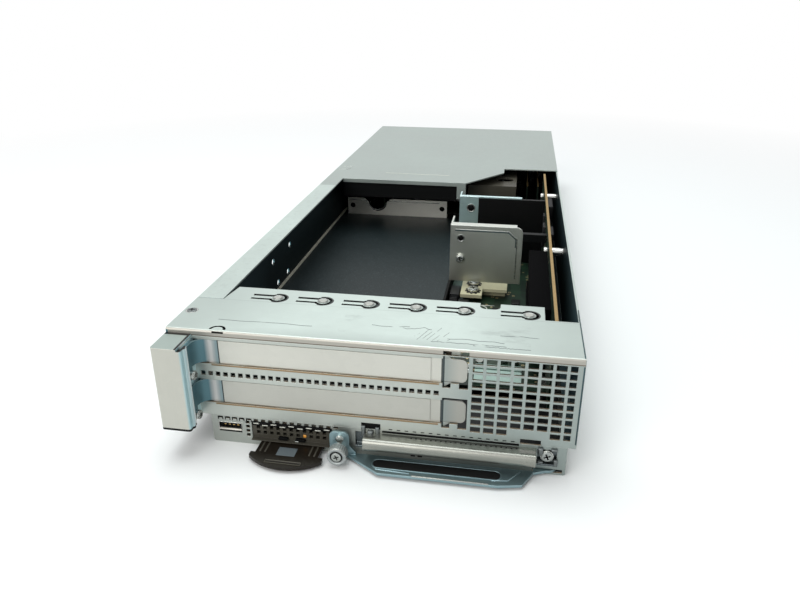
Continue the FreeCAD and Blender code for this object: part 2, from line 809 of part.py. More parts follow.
# Front of the tray
def front_face_plate():
    face = Piece("front_face_plate", "left + flange_start", "front", "lower_height")
    inset = "flange_start"
    face.pad("face", [rectangle("0", "0", "face_width", "face_height")], "sheet")
    for centre in ("slot_rise", "slot_rise - slot_pitch"):
        low, high = f"{centre} - slot_opening / 2", f"{centre} + slot_opening / 2"
        end, tip = f"slot_end - {inset}", f"tongue_window_end - {inset}"
        floor, ceiling = f"{low} - tongue_window_fall", f"{high} + tongue_window_rise"
        tab_left = f"{end} + window_tab_inset"
        tab_right, tab_top = f"{tab_left} + window_tab_width", f"{floor} + window_tab_height"
        face.pocket("face", [ring(
            ("sheet", low), (end, low), (end, floor), (tab_left, floor), (tab_left, tab_top),
            (tab_right, tab_top), (tab_right, floor), (tip, floor), (tip, ceiling), (end, ceiling),
            (end, high), ("sheet", high))], "sheet")
    strip = face.pocket("face", [rectangle(
        f"strip_start - {inset}", "strip_rise", "strip_hole", "strip_hole")], "sheet")
    face.repeat([strip], "X", "strip_pitch", "strip_count")
    columns = count("grille_columns")

    def grille_row(shown, rise):
        holes = []
        for column in shown:
            width = "grille_last_width" if column == columns - 1 else "grille_hole_width"
            holes.append(rectangle(f"grille_start - {inset} + {column} * grille_pitch", rise,
                                   width, "grille_hole_height"))
        return face.pocket("face", holes, "sheet")

    top_row = grille_row(range(columns), "grille_rise")
    face.repeat([top_row], "Z", "grille_row_pitch", "grille_rows", backwards=True)
    ends = [column for column in range(columns) if column < 3 or column >= columns - 2]
    grille_row(ends, "grille_rise - grille_row_pitch * grille_rows")
    face.pocket("face", [rectangle(
        f"face_notch_start - {inset}", "0", "face_notch_width", "face_notch_rise")], "sheet")
    face.pad("side", [rectangle(
        "-flange_reach", "0", "flange_reach + sheet", "guard_height - sheet")], "sheet")
    face.pocket("side", [disc("-cover_screw_reach", "cover_screw_rise", "screw_hole"),
                         disc("-cover_screw_reach", "cover_screw_rise - slot_pitch", "screw_hole")], "sheet")


def front_top_plate():
    plate = Piece("front_top_plate", "left", "front", "node_height - sheet")
    width = "node_width - plate_edge_gap"
    notch_right = f"{width} - plate_notch_inset"
    notch_left = f"{notch_right} - plate_notch_width"
    notch_floor = "plate_depth - plate_notch_depth"
    plate.pad("plan", [ring(
        ("0", "0"), (width, "0"), (width, "plate_step_depth"),
        (f"{width} - plate_step_width", "plate_step_depth"),
        (f"{width} - plate_step_width", "plate_depth"), (notch_right, "plate_depth"),
        (notch_right, f"{notch_floor} + plate_notch_round", "plate_notch_round", "right"),
        (f"{notch_right} - plate_notch_round", notch_floor),
        (f"{notch_left} + plate_notch_round", notch_floor, "plate_notch_round", "right"),
        (notch_left, f"{notch_floor} + plate_notch_round"), (notch_left, "plate_depth"),
        ("rail_width + rail_gap", "plate_depth"), ("rail_width + fit", "rail_setback - fit"),
        ("0", "rail_setback - fit"))], "sheet")
    plate.pad("face", [rectangle(
        "sheet", "-(front_lip - sheet)", f"{width} - sheet", "front_lip - sheet")], "sheet")
    plate.round_edges("bend", "x", [("0", "sheet")])
    plate.pocket("face", [rectangle(
        "slot_end", "-(front_lip - sheet)", "tongue_window", "front_lip - sheet")], "sheet")
    near, rim = "edge_tongue_setback", "edge_tongue + edge_tongue_slit"
    middle, crest = "edge_tongue_start", f"{near} + edge_tongue"
    plate.pocket("plan", [ring(
        (f"{middle} + {rim}", near, rim, "left"), (middle, f"{near} + {rim}", rim, "left"),
        (f"{middle} - ({rim})", near), (f"{middle} - edge_tongue", near, "edge_tongue", "right"),
        (middle, crest, "edge_tongue", "right"), (f"{middle} + edge_tongue", near))], "sheet")
    plate.pocket("plan", [disc("plate_screw_inset", "plate_screw_setback", "screw_hole")], "sheet")
    plate.pocket("plan", [disc("plate_screw_inset", "plate_screw_setback", "screw_head + play")],
                 "sheet / 2", "sheet / 2")

    def spoon(start, head, half_width, tail):
        """Spoon outline: a round head at the right end of a straight stem."""
        along = "finger_setback"
        neck = f"{start} - sqrt(({head}) ^ 2 - ({half_width}) ^ 2)"
        low, high = f"{along} - ({half_width})", f"{along} + ({half_width})"
        return ring(
            (tail, low), (neck, low, head, "left"), (start, f"{along} - ({head})", head, "left"),
            (f"{start} + ({head})", along, head, "left"), (start, f"{along} + ({head})", head, "left"),
            (neck, high), (tail, high))

    def finger(start):
        """Slit round a spring finger, then the finger with its dimple."""
        tail = f"{start} - finger_stem"
        slit = plate.pocket("plan", [spoon(start, "finger_head + finger_slit",
                                           "finger_half_width + finger_side_slit", tail)], "sheet")
        tongue = plate.pad("plan", [spoon(
            start, "finger_head", "finger_half_width", f"{tail} - sheet")], "sheet")
        dimple = plate.pad("plan", [disc(
            start, "finger_setback", "finger_dimple")], "finger_dimple_rise", "sheet")
        return [slit, tongue, dimple]

    first = finger("finger_start")
    plate.repeat(first, "X", "finger_pitch", "finger_count")
    finger("node_width - finger_side_inset")


def plate_screw():
    head = cylinder("plate_screw_head", "left + plate_screw_inset", "front + plate_screw_setback",
                    "node_height - sheet / 2", "z", "screw_head", "sheet / 2")
    shank = cylinder("plate_screw_shank", "left + plate_screw_inset", "front + plate_screw_setback",
                     "node_height - sheet / 2 - screw_length", "z", "screw_radius", "screw_length")
    subpart(fuse("top_plate_screw", head, shank), "top_plate_screw")


def corner_guard():
    guard = Piece("corner_guard", "left", "front - guard_reach", "lower_height")
    guard.pad("plan", [ring(
        ("0", "0"), ("guard_width", "0"), ("guard_width", "guard_side"), ("tab_face", "guard_side"),
        ("tab_face", "sheet"), ("sheet", "sheet"), ("sheet", "guard_reach"), ("0", "guard_reach"))],
        "guard_height - sheet")
    guard.pad("plan", [rectangle("0", "0", "tab_face - guard_flap_gap", "guard_reach")],
              "sheet", "guard_height - sheet")
    guard.round_edges("bend", "z", [("0", "0"), ("guard_width", "0")])
    near, far = "guard_bead_inset", "guard_bead_inset + guard_bead_width"
    guard.pad("plan", [ring(
        ("tab_face", near), ("guard_width", near, "guard_bead_radius", "left"), ("guard_width", far),
        ("tab_face", far))], "guard_height - sheet")


# Slot covers: one folded strip each, with a tab that bends forward and a tongue in the face
def slot_cover(label, centre):
    cover = Piece(label, "left + flange_start + sheet", "front + sheet", f"lower_height + {centre}")
    half = "slot_opening / 2 - fit"
    start, end = "cover_outer", "cover_end - flange_start - sheet"
    bend, tip = "-cover_bend_radius", "-cover_bend_radius - cover_tab_length"
    cover.pad("plan", [ring(
        (end, "0"), (end, "cover_sheet"), (start, "cover_sheet", "cover_outer", "left"), ("0", bend),
        ("0", tip), ("cover_sheet", tip), ("cover_sheet", bend, "cover_bend_radius", "right"), (start, "0"))],
        f"2 * ({half})", f"-({half})")
    cover.pad("face", [rectangle(
        start, "-cover_height / 2", f"{end} - {start}", "cover_height")], "cover_sheet")
    cover.pad("face", [rectangle(end, "-tongue_height / 2", "tongue_tip - cover_end", "tongue_height")],
              "cover_sheet")
    corner = f"{end} + tongue_tip - cover_end"
    cover.round_edges("tongue_round", "y", [(corner, "-tongue_height / 2"), (corner, "tongue_height / 2")])
    cover.pad("face", [rectangle("emboss_start - flange_start - sheet", "emboss_margin - slot_opening / 2",
                                 "emboss_end - emboss_start", "slot_opening - 2 * emboss_margin")],
              "emboss_rise", "-emboss_rise")
    cover.pad("side", [rectangle(tip, "-slot_opening / 2 - cover_ear_fall", "cover_tab_length",
                                 "cover_ear_fall + fit")], "cover_sheet")
    cover.pocket("side", [disc(
        "-sheet - cover_screw_reach", "-slot_opening / 2 - cover_screw_fall", "screw_hole")], "cover_sheet")


def slot_covers():
    slot_cover("slot_cover_upper", "slot_rise")
    slot_cover("slot_cover_lower", "slot_rise - slot_pitch")
    screws = []
    for index in range(2):
        spot = ("left + tab_face", "front - cover_screw_reach",
                f"lower_height + cover_screw_rise - {index} * slot_pitch")
        screws.append(screw(f"cover_screw{index}", *spot, "-x", head="cover_screw_head"))
    subpart(group("slot_cover_screws", *screws), "slot_cover_screws")


# Rear of the tray
def rear_top_cover():
    cover = Piece("rear_top_cover", "left", "front", "node_height - sheet")
    slant_end = "rear_cover_front_width + rear_cover_slant_run"
    cover.pad("plan", [ring(
        ("0", "cover_leg_setback"), ("rail_width", "cover_leg_setback"), ("rail_width", "rear_cover_setback"),
        ("rear_cover_front_width", "rear_cover_setback"),
        (slant_end, "rear_cover_setback + rear_cover_slant_depth"), (slant_end, "rear_cover_right_setback"),
        ("node_width", "rear_cover_right_setback"), ("node_width", "node_depth"),
        ("0", "node_depth"))], "sheet")
    post = "rear_cover_front_width - rear_cover_post_width"
    cover.pad("face", [ring(
        ("rail_width", "0"), ("rail_width", "-rear_cover_lip"), (post, "-rear_cover_lip"),
        (post, "-rear_cover_post_drop"), ("rear_cover_front_width", "-rear_cover_post_drop"),
        ("rear_cover_front_width", "0"))], "sheet", "rear_cover_setback")
    subpart(box("rear_baffle", "left + rail_width", "front + rear_cover_setback + baffle_setback",
                "node_height - sheet - baffle_drop", f"{post} - rail_width", "sheet", "baffle_drop"),
            "rear_baffle")


def bay_rear_bracket():
    bracket = Piece("bay_rear_bracket", "left + rear_bracket_start", "front + rear_bracket_setback",
                    "floor_top")
    near = "rear_bracket_notch - rear_bracket_start"
    radius = "rear_bracket_notch_radius"
    middle = f"{near} + rear_bracket_notch_flare + {radius}"
    throat = f"rear_bracket_notch_floor + {radius}"
    hole = "rear_bracket_hole_inset"
    bracket.pad("face", [
        ring(("0", "0"), ("rear_bracket_width", "0"), ("rear_bracket_width", "rear_bracket_height"),
             (f"{middle} + {radius} + rear_bracket_notch_flare", "rear_bracket_height"),
             (f"{middle} + {radius}", throat, radius, "right"),
             (middle, "rear_bracket_notch_floor", radius, "right"),
             (f"{middle} - {radius}", throat), (near, "rear_bracket_height"), ("0", "rear_bracket_height")),
        disc(hole, "rear_bracket_hole_rise", "rear_bracket_hole"),
        disc(f"{hole} + rear_bracket_hole_pitch", "rear_bracket_hole_rise", "rear_bracket_hole")], "sheet")
    bracket.pad("plan", [rectangle("0", "sheet", "rear_bracket_width", "rear_bracket_foot")], "sheet")


def rear_wall():
    wall = Piece("rear_wall", "left", "rear - sheet", "0")
    right_step = "node_width - lower_inset_right"
    roof = "node_height - sheet"
    wall.pad("face", [ring(
        ("lower_inset_left", "0"), (right_step, "0"), (right_step, "lower_height"),
        ("node_width", "lower_height"), ("node_width", roof), ("0", roof), ("0", "lower_height"),
        ("lower_inset_left", "lower_height"))], "sheet")
    wall.pocket("face", [rectangle("link_start - fit", "board_top - fit", "link_width + 2 * fit",
                                   "link_height + 2 * fit"),
                         rectangle("link_power_start - fit", "board_top - fit", "link_power_width + 2 * fit",
                                   "link_height + 2 * fit")], "sheet")


def link_connectors():
    for label, start, width in (("signal_connector", "link_start", "link_width"),
                                ("power_connector", "link_power_start", "link_power_width")):
        block = box(label + "_block", f"left + {start}", "rear - link_depth", "board_top",
                    width, "link_depth", "link_height")
        cavity = box(label + "_cavity", f"left + {start} + link_wall", "rear - link_cavity_depth",
                     "board_top + link_wall", f"{width} - 2 * link_wall", "link_cavity_depth",
                     "link_height - 2 * link_wall")
        subpart(cut(label, block, cavity), label)


# Brackets beside the card bay
def riser_brackets():
    bracket = Piece("riser_bracket_front", "left + bay_width - sheet", "front + riser_setback", "floor_top")
    height = "node_height - riser_drop - floor_top"
    bracket.pad("plan", [ring(
        ("0", "0"), ("riser_width", "0"), ("riser_width", "sheet"), ("sheet", "sheet"),
        ("sheet", "riser_flange"), ("0", "riser_flange"))], height)
    bracket.round_edges("riser_round", "y", [("riser_width", height)])
    bracket.pad("plan", [rectangle("0", "sheet", "riser_width - riser_round", "riser_lip - sheet")],
                "sheet", f"{height} - sheet")
    holes = f"{height} - riser_hole_drop"
    bracket.pocket("face", [disc("riser_hole_inset", holes, "screw_hole"),
                            disc("riser_hole_inset", f"{holes} - riser_hole_pitch", "screw_hole")], "sheet")
    subpart(screw("riser_bracket_screw", "left + bay_width - sheet + riser_hole_inset",
                  "front + riser_setback", f"floor_top + {holes} - riser_hole_pitch", "+y"),
            "riser_bracket_screw")
    support = Piece("riser_bracket_rear", "left + bay_width - sheet", "front + support_setback", "floor_top")
    tall = "node_height - support_drop - floor_top"
    support.pad("plan", [ring(
        ("0", "0"), ("support_width", "0"), ("support_width", "sheet"), ("sheet", "sheet"),
        ("sheet", "support_flange"), ("0", "support_flange"))], tall)
    support.pad("plan", [rectangle("0", "sheet", "support_lip_length", "support_lip")],
                "sheet", f"{tall} - sheet")
    support.pocket("face", [disc(
        "support_hole_inset", f"{tall} - support_hole_drop", "rear_bracket_hole")], "sheet")
    guide_left = "left + bay_width - sheet + support_width"
    subpart(box("card_guide_plate", guide_left, "front + support_setback", "board_top",
                f"side_board_left - ({guide_left})", "guide_thickness",
                "node_height - guide_drop - board_top"), "card_guide_plate")
    brace_left = "left + bay_width - sheet + riser_width"
    subpart(box("board_brace", brace_left, "front + riser_setback",
                "node_height - riser_drop - riser_round - brace_height",
                f"side_board_left - ({brace_left})", "brace_depth", "brace_height"), "board_brace")


# Boards, their sockets and what holds them
def side_board():
    spots = [("front + side_post_setback", "node_height - side_post_drop"),
             ("front + side_post_setback + side_post_pitch", "node_height - side_post_drop")]
    blank = box("side_board_blank", "side_board_left", "front + side_board_setback", "groove_floor",
                "board", "side_board_length", "node_height - side_board_drop - groove_floor")
    holes = []
    posts = []
    screws = []
    for index, (y, z) in enumerate(spots):
        holes.append(cylinder(f"side_board_hole{index}", "side_board_left", y, z, "x", "screw_hole", "board"))
        post = cylinder(f"side_post{index}", "side_board_left + board", y, z, "x",
                        "side_post_radius", "side_board_gap")
        bore = cylinder(f"side_post_bore{index}", "side_board_left + board", y, z, "x",
                        "screw_hole", "screw_length - board + fit")
        posts.append(cut(f"side_post_tube{index}", post, bore))
        screws.append(screw(f"side_screw{index}", "side_board_left", y, z, "+x"))
    subpart(cut("side_board", blank, *holes), "side_board")
    subpart(group("side_board_posts", *posts), "side_board_posts")
    subpart(group("side_board_screws", *screws), "side_board_screws")


def sockets():
    riser_left = "side_board_left + board / 2 - riser_socket_width / 2"
    block = box("riser_block", riser_left, "front + riser_socket_setback", "board_top",
                "riser_socket_width", "riser_socket_length", "riser_socket_height")
    groove = box("riser_groove", "side_board_left - play", "front + riser_socket_setback", "groove_floor",
                 "board + 2 * play", "riser_socket_length", "riser_socket_groove")
    subpart(cut("riser_socket", block, groove), "riser_socket")
    cards = []
    for index in range(2):
        middle = f"node_height - card_socket_drop - {index} * slot_pitch"
        body = box(f"card_block{index}", "side_board_left - card_socket_reach", "front + card_socket_setback",
                   f"{middle} - card_socket_height / 2", "card_socket_reach", "card_socket_length",
                   "card_socket_height")
        slot = box(f"card_groove{index}", "side_board_left - card_socket_reach",
                   "front + card_socket_setback + card_socket_end", f"{middle} - card_socket_groove / 2",
                   "card_socket_groove_depth", "card_socket_length - 2 * card_socket_end",
                   "card_socket_groove")
        cards.append(cut(f"card_socket{index}", body, slot))
    subpart(group("card_sockets", *cards), "card_sockets")
    socket = Piece("power_socket", "left + power_socket_start", "front + power_socket_setback", "board_top")
    bar, back = "power_socket_depth - power_socket_bar_depth", "power_socket_depth"
    foot = "power_socket_foot_depth"
    plate_bottom = "power_socket_height - power_socket_plate"
    socket.pad("plan", [ring(
        ("0", "0"), ("power_socket_arm_width", "0"), ("power_socket_arm_width", bar),
        ("power_socket_width", bar), ("power_socket_width", back), ("0", back))],
        "power_socket_plate", plate_bottom)
    socket.pad("plan", [rectangle("sheet", f"{back} - {foot}", "power_socket_width - 2 * sheet", foot)],
               plate_bottom)
    rows = [f"socket_screw_setback + {index} * socket_screw_pitch" for index in range(2)]
    socket.pocket("plan", [disc("socket_screw_inset", row, "screw_hole") for row in rows],
                  "power_socket_height")
    screws = []
    for index, row in enumerate(rows):
        screws.append(screw(f"socket_screw{index}", "left + power_socket_start + socket_screw_inset",
                            f"front + power_socket_setback + {row}", "board_top + power_socket_height", "-z",
                            head="socket_screw_radius"))
    subpart(group("power_socket_screws", *screws), "power_socket_screws")


def system_board():
    board = Piece("system_board", "left", "front", "board_bottom")
    near = "lower_inset_left + sheet + board_side_gap"
    far = "node_width - lower_inset_right - sheet - board_side_gap"
    arm, end = "bay_width + fit", "node_depth - board_rear_gap"
    board.pad("plan", [ring(
        (arm, "board_setback"), (far, "board_setback"), (far, end), (near, end), (near, "board_wide_setback"),
        (arm, "board_wide_setback"))], "board")
    spots = [(f"{arm} + board_hole_inset", "board_setback + board_hole_inset"),
             (f"{far} - board_hole_inset", "board_setback + board_hole_inset"),
             (f"{arm} + board_hole_inset", "board_wide_setback - board_hole_inset"),
             (f"{near} + board_hole_inset", "board_wide_setback + board_hole_inset"),
             (f"{near} + board_hole_inset", f"{end} - board_hole_inset")]
    board.pocket("plan", [disc(x, y, "screw_hole") for x, y in spots], "board")
    posts = []
    screws = []
    for index, (x, y) in enumerate(spots):
        here = (f"left + {x}", f"front + {y}")
        post = cylinder(f"board_post{index}", *here, "sheet", "z", "board_standoff_radius", "board_standoff")
        bore = cylinder(f"board_bore{index}", *here, "sheet", "z", "screw_hole", "board_standoff")
        posts.append(cut(f"board_standoff{index}", post, bore))
        screws.append(screw(f"board_screw{index}", *here, "board_top", "-z", "board_screw_length"))
    subpart(group("board_standoffs", *posts), "board_standoffs")
    subpart(group("board_screws", *screws), "board_screws")


def processor():
    middle = ("left + cpu_start", "front + cpu_setback")

    def centred(name, width, depth, z, height):
        return box(name, f"{middle[0]} - {width} / 2", f"{middle[1]} - {depth} / 2", z, width, depth, height)

    subpart(centred("processor_socket", "cpu_socket_width", "cpu_socket_depth", "board_top",
                    "cpu_socket_height"), "processor_socket")
    subpart(centred("processor", "cpu_width", "cpu_depth", "board_top + cpu_socket_height", "cpu_height"),
            "processor")
    sink = Piece("heat_sink", f"{middle[0]} - sink_width / 2", f"{middle[1]} - sink_depth / 2", "cpu_top")
    sink.pad("plan", [rectangle("0", "0", "sink_width", "sink_depth")], "sink_base")
    fin = sink.pad("plan", [rectangle("0", "0", "sink_fin", "sink_depth")],
                   "sink_height - sink_base", "sink_base")
    sink.repeat([fin], "X", "(sink_width - sink_fin) / (sink_fins - 1)", "sink_fins")


def memory():
    holders = []
    modules = []
    for index, start in enumerate(("memory_left_start", "memory_left_start + memory_pitch",
                                   "memory_right_start", "memory_right_start + memory_pitch")):
        x = f"left + {start}"
        y = "front + memory_setback"
        floor = "board_top + memory_socket_height - memory_groove_depth"
        block = box(f"memory_block{index}", x, f"{y} - memory_socket_end", "board_top", "memory_socket_width",
                    "memory_length + 2 * memory_socket_end", "memory_socket_height")
        inside = f"{x} + memory_socket_width / 2 - memory_module / 2"
        groove = box(f"memory_groove{index}", f"{inside} - play", f"{y} - play", floor,
                     "memory_module + 2 * play", "memory_length + 2 * play", "memory_groove_depth")
        holders.append(cut(f"memory_holder{index}", block, groove))
        modules.append(box(f"memory_module{index}", inside, y, floor, "memory_module", "memory_length",
                           "memory_height"))
    subpart(group("memory_sockets", *holders), "memory_sockets")
    subpart(group("memory_modules", *modules), "memory_modules")


def rear_shroud():
    """Moulded cover that stands on the board behind the brackets, open below and at its rear."""
    shroud = Piece("rear_shroud", "left + bay_width + shroud_gap", "front + shroud_setback", "board_top")
    height = "node_height - shroud_drop - board_top"
    inner = "shroud_width - shroud_wall"
    shroud.pad("face", [ring(
        ("0", "0"), ("shroud_wall", "0"), ("shroud_wall", f"{height} - shroud_wall"),
        (inner, f"{height} - shroud_wall"), (inner, "0"), ("shroud_width", "0"),
        ("shroud_width", height), ("0", height))], "shroud_depth")
    shroud.pad("face", [rectangle("0", "0", "shroud_width", height)], "shroud_wall")
    shroud.pocket("plan", [oblong("shroud_slot_start", "shroud_slot_setback", "shroud_slot_width",
                                  "shroud_slot_length")], "shroud_wall", f"{height} - shroud_wall")


# Lower front: port, status panel and buttons
def port():
    x, y, z = "left + port_start + play", "front", "port_rise + play"
    width, height = "port_width - 2 * play", "port_height - 2 * play"
    shell = box("usb_block", x, y, z, width, "port_depth", height)
    hollow = box("usb_hollow", f"{x} + port_wall", y, f"{z} + port_wall", f"{width} - 2 * port_wall",
                 "port_depth - port_wall", f"{height} - 2 * port_wall")
    subpart(cut("usb_shell", shell, hollow), "usb_shell")
    subpart(box("usb_tongue", f"{x} + port_wall + port_tongue_gap", f"{y} + port_tongue_setback",
                f"{z} + {height} - port_wall - port_tongue_gap - port_tongue",
                f"{width} - 2 * port_wall - 2 * port_tongue_gap",
                "port_depth - port_wall - port_tongue_setback", "port_tongue"), "usb_tongue")
    board_left = "lower_inset_left + sheet + fit"
    right_post = "tab_start + tab_width + fit + tab_guide_width + fit + port_post_radius"
    subpart(box("port_board", f"left + {board_left}", "front + switch_back", "port_board_bottom",
                f"{right_post} + port_post_radius - ({board_left})", "port_board_depth", "board"),
            "port_board")
    posts = []
    for name, spot in (("left", f"{board_left} + port_post_radius"), ("right", right_post)):
        posts.append(cylinder(f"port_post_{name}", f"left + {spot}",
                              "front + switch_back + port_board_depth - port_post_radius", "sheet", "z",
                              "port_post_radius", "port_board_bottom - sheet"))
    subpart(group("port_board_standoffs", *posts), "port_board_standoffs")


def status_panel():
    panel = Piece("status_panel", "left + status_start", "front", "status_rise")
    width, height = "status_width - 2 * play", "status_height - 2 * play"
    panel.pad("face", [rectangle("play", "play", width, height)], "sheet - status_recess", "status_recess")
    panel.pad("face", [rectangle("-status_flange", "play", "status_width + 2 * status_flange",
                                 "status_height + status_flange - play")], "sheet", "sheet")
    panel.pad("face", [rectangle("play", "play", width, "status_lip_height")],
              "status_lip + status_recess", "-status_lip")
    for shift in ("0", "button_pitch"):
        panel.pocket("face", [oblong(f"button_start + {shift} - button_gap", "button_rise - button_gap",
                                     "button_length + 2 * button_gap", "button_height + 2 * button_gap")],
                     "2 * sheet")
    row = panel.pocket("face", [rectangle(
        "status_hole_start", f"status_hole_rise + {index} * status_hole_row_pitch",
        "status_hole", "status_hole") for index in range(2)], "2 * sheet")
    panel.repeat([row], "X", "status_hole_pitch", "status_hole_count")


def buttons():
    switches = []
    for label, shift in (("power_button", "0"), ("locate_button", "button_pitch")):
        start = f"left + status_start + button_start + {shift}"
        button = Piece(label, start, "front", "button_bottom")
        button.pad("face", [oblong("0", "0", "button_length", "button_height")],
                   "button_back + button_reach", "-button_reach")
        button.pad("face", [rectangle("-button_flange", "-button_flange", "button_length + 2 * button_flange",
                                      "button_height + 2 * button_flange")], "sheet", "2 * sheet + fit")
        switches.append(box(f"{label}_switch", start, "front + switch_back - switch_depth", "button_bottom",
                            "button_length", "switch_depth", "button_height"))
    subpart(group("button_switches", *switches), "button_switches")


def label_tab():
    tab = Piece("label_tab", "left + tab_start", "front", "tab_bottom")
    ear = "-tab_shoulder - tab_ear_length"
    bow = "((tab_width / 2 + tab_ear) ^ 2 + tab_bow ^ 2) / (2 * tab_bow)"
    tab.pad("plan", [ring(
        ("0", "tab_inside"), ("0", "-tab_shoulder"), ("-tab_ear", "-tab_shoulder"),
        ("-tab_ear", ear, bow, "left"), ("tab_width + tab_ear", ear),
        ("tab_width + tab_ear", "-tab_shoulder"), ("tab_width", "-tab_shoulder"),
        ("tab_width", "tab_inside"))], "tab_thickness")
    guides = []
    near = "tab_start - fit - tab_guide_width"
    far = "tab_start + tab_width"
    for name, wall, lip in (("left", near, near), ("right", f"{far} + fit", f"{far} - tab_guide_lip")):
        start = "front + 2 * sheet + fit"
        side = box(f"guide_{name}_wall", f"left + {wall}", start, "sheet", "tab_guide_width",
                   "tab_guide_length", "tab_top + fit - sheet")
        roof = box(f"guide_{name}_lip", f"left + {lip}", start, "tab_top + fit",
                   "tab_guide_width + fit + tab_guide_lip", "tab_guide_length", "tab_guide_roof")
        guides.append(fuse(f"guide_{name}", side, roof))
    subpart(group("tab_guides", *guides), "tab_guides")


def adapter_bar():
    bar = Piece("adapter_bar", "left + bar_start", "front", "bar_bottom")
    inner = "bar_round - bar_sheet"
    nose, turn = "-bar_reach", "bar_round - bar_reach"
    bar.pad("side", [ring(
        ("0", "0"), ("0", "bar_sheet"), (turn, "bar_sheet", inner, "right"),
        (f"{nose} + bar_sheet", "bar_round"),
        (f"{nose} + bar_sheet", "bar_height - bar_round", inner, "right"), (turn, "bar_height - bar_sheet"),
        ("0", "bar_height - bar_sheet"), ("0", "bar_height"), (turn, "bar_height", "bar_round", "left"),
        (nose, "bar_height - bar_round"), (nose, "bar_round", "bar_round", "left"), (turn, "0"))],
        "bar_width")
    clips = []
    for name, start, width in (("left", "bar_start - bar_window_gap - bar_clip_width", "bar_clip_width"),
                               ("right", "bar_start + bar_width + bar_window_gap", "bar_window_width")):
        back = box(f"clip_{name}_back", f"left + {start} - sheet", "front + sheet", "bar_window_rise - sheet",
                   f"{width} + 2 * sheet", "bar_sheet", "bar_window_height + 2 * sheet")
        hook = box(f"clip_{name}_hook", f"left + {start} + fit", "front - bar_hook", "bar_window_rise + fit",
                   f"{width} - 2 * fit", "sheet + bar_hook", "bar_sheet")
        clips.append(fuse(f"clip_{name}", back, hook))
    x = "left + bar_start + bar_width + bar_window_gap + bar_window_width / 2"
    z = "bar_window_rise + bar_window_height / 2 + bar_sheet"
    hole = cylinder("adapter_screw_hole", x, "front + sheet", z, "y", "screw_hole", "bar_sheet")
    clips[1] = cut("clip_right_drilled", clips[1], hole)
    subpart(group("adapter_clips", *clips), "adapter_clips")
    subpart(screw("adapter_screw", x, "front + sheet", z, "+y"), "adapter_screw")


# Release handle: a flat plate that swings on a pin, with an upright tab for its thumbscrew
def release_handle():
    handle = Piece("release_handle", "left", "front", "handle_bottom")
    eye, pin_x, pin_y = "handle_eye", "handle_pivot_start", "handle_pivot_setback"
    back = "-handle_back"
    handle.pad("plan", [
        ring(("handle_left", back), ("handle_left", "-handle_left_reach"),
             ("handle_front_start", "-handle_reach"), ("handle_front_end", "-handle_reach"),
             ("handle_corner", "-handle_corner_reach"),
             (f"{pin_x} - {eye}", f"{back} - handle_sheet"),
             (pin_x, f"{pin_y} - {eye}", eye, "left"), (f"{pin_x} + {eye}", pin_y, eye, "left"),
             (pin_x, f"{pin_y} + {eye}", eye, "left"), (f"{pin_x} - {eye}", pin_y),
             (f"{pin_x} - {eye}", back)),
        disc(pin_x, pin_y, "pivot_radius + pivot_play")], "handle_sheet")
    corner = "handle_tab_start + handle_tab_width"
    top = "handle_tab_top - handle_bottom"
    handle.pad("face", [ring(
        ("handle_tab_start", "0"), (f"{corner} + handle_neck", "0"),
        (f"{corner} + handle_neck", "2 * handle_sheet"), (corner, "2 * handle_sheet + handle_neck"),
        (corner, top), ("handle_tab_start", top))],
        "handle_sheet", f"{back} - handle_sheet")
    handle.round_edges("handle_tab_round", "y", [("handle_tab_start", top), (corner, top)])
    handle.pocket("face", [disc("thumb_start", "thumb_rise - handle_bottom", "thumb_core + play"),
                           disc("thumb_start", "rivet_rise - handle_bottom", "rivet_core + pivot_play")],
                  "handle_sheet", f"{back} - handle_sheet")
    strip = Piece("handle_label_strip", "left", "front", "handle_top")
    strip.pad("plan", [oblong("handle_strip_start", "-handle_strip_reach - handle_strip_width / 2",
                              "handle_strip_length", "handle_strip_width")], "handle_strip_thickness")
    spot = ("left + handle_pivot_start", "front + handle_pivot_setback")
    subpart(fuse("handle_pivot",
                 cylinder("pivot_shank", *spot, "sheet", "z", "pivot_radius", "handle_top + fit - sheet"),
                 cylinder("pivot_cap", *spot, "handle_top + fit", "z", "pivot_head", "sheet")),
            "handle_pivot")


def thumbscrew():
    spot = ("left + thumb_start", "front", "thumb_rise")
    tab_front = "-handle_back - handle_sheet"
    head = f"{tab_front} - ferrule_length - fit"
    collar = "-handle_back + fit"
    tip = f"{collar} + 2 * collar_length"
    knob = Piece("handle_thumbscrew", *spot)
    knob.turn("plan", [ring(
        ("0", tip), ("0", f"{head} - thumb_length"), ("thumb_radius", f"{head} - thumb_length"),
        ("thumb_radius", head), ("thumb_core", head), ("thumb_core", collar), ("collar_radius", collar),
        ("collar_radius", f"{collar} + collar_length"), ("thumb_core", f"{collar} + collar_length"),
        ("thumb_core", tip))], "Y")
    seat = f"front + {tab_front} - ferrule_length"
    subpart(cut("thumbscrew_ferrule",
                cylinder("ferrule_outside", spot[0], seat, spot[2], "y", "ferrule_radius", "ferrule_length"),
                cylinder("ferrule_bore", spot[0], seat, spot[2], "y", "thumb_core + play", "ferrule_length")),
            "thumbscrew_ferrule")
    subpart(fuse("handle_rivet",
                 cylinder("rivet_cap", spot[0], f"front + {tab_front} - rivet_height", "rivet_rise", "y",
                          "rivet_radius", "rivet_height"),
                 cylinder("rivet_shank", spot[0], f"front + {tab_front}", "rivet_rise", "y",
                          "rivet_core", "handle_sheet")), "handle_rivet")


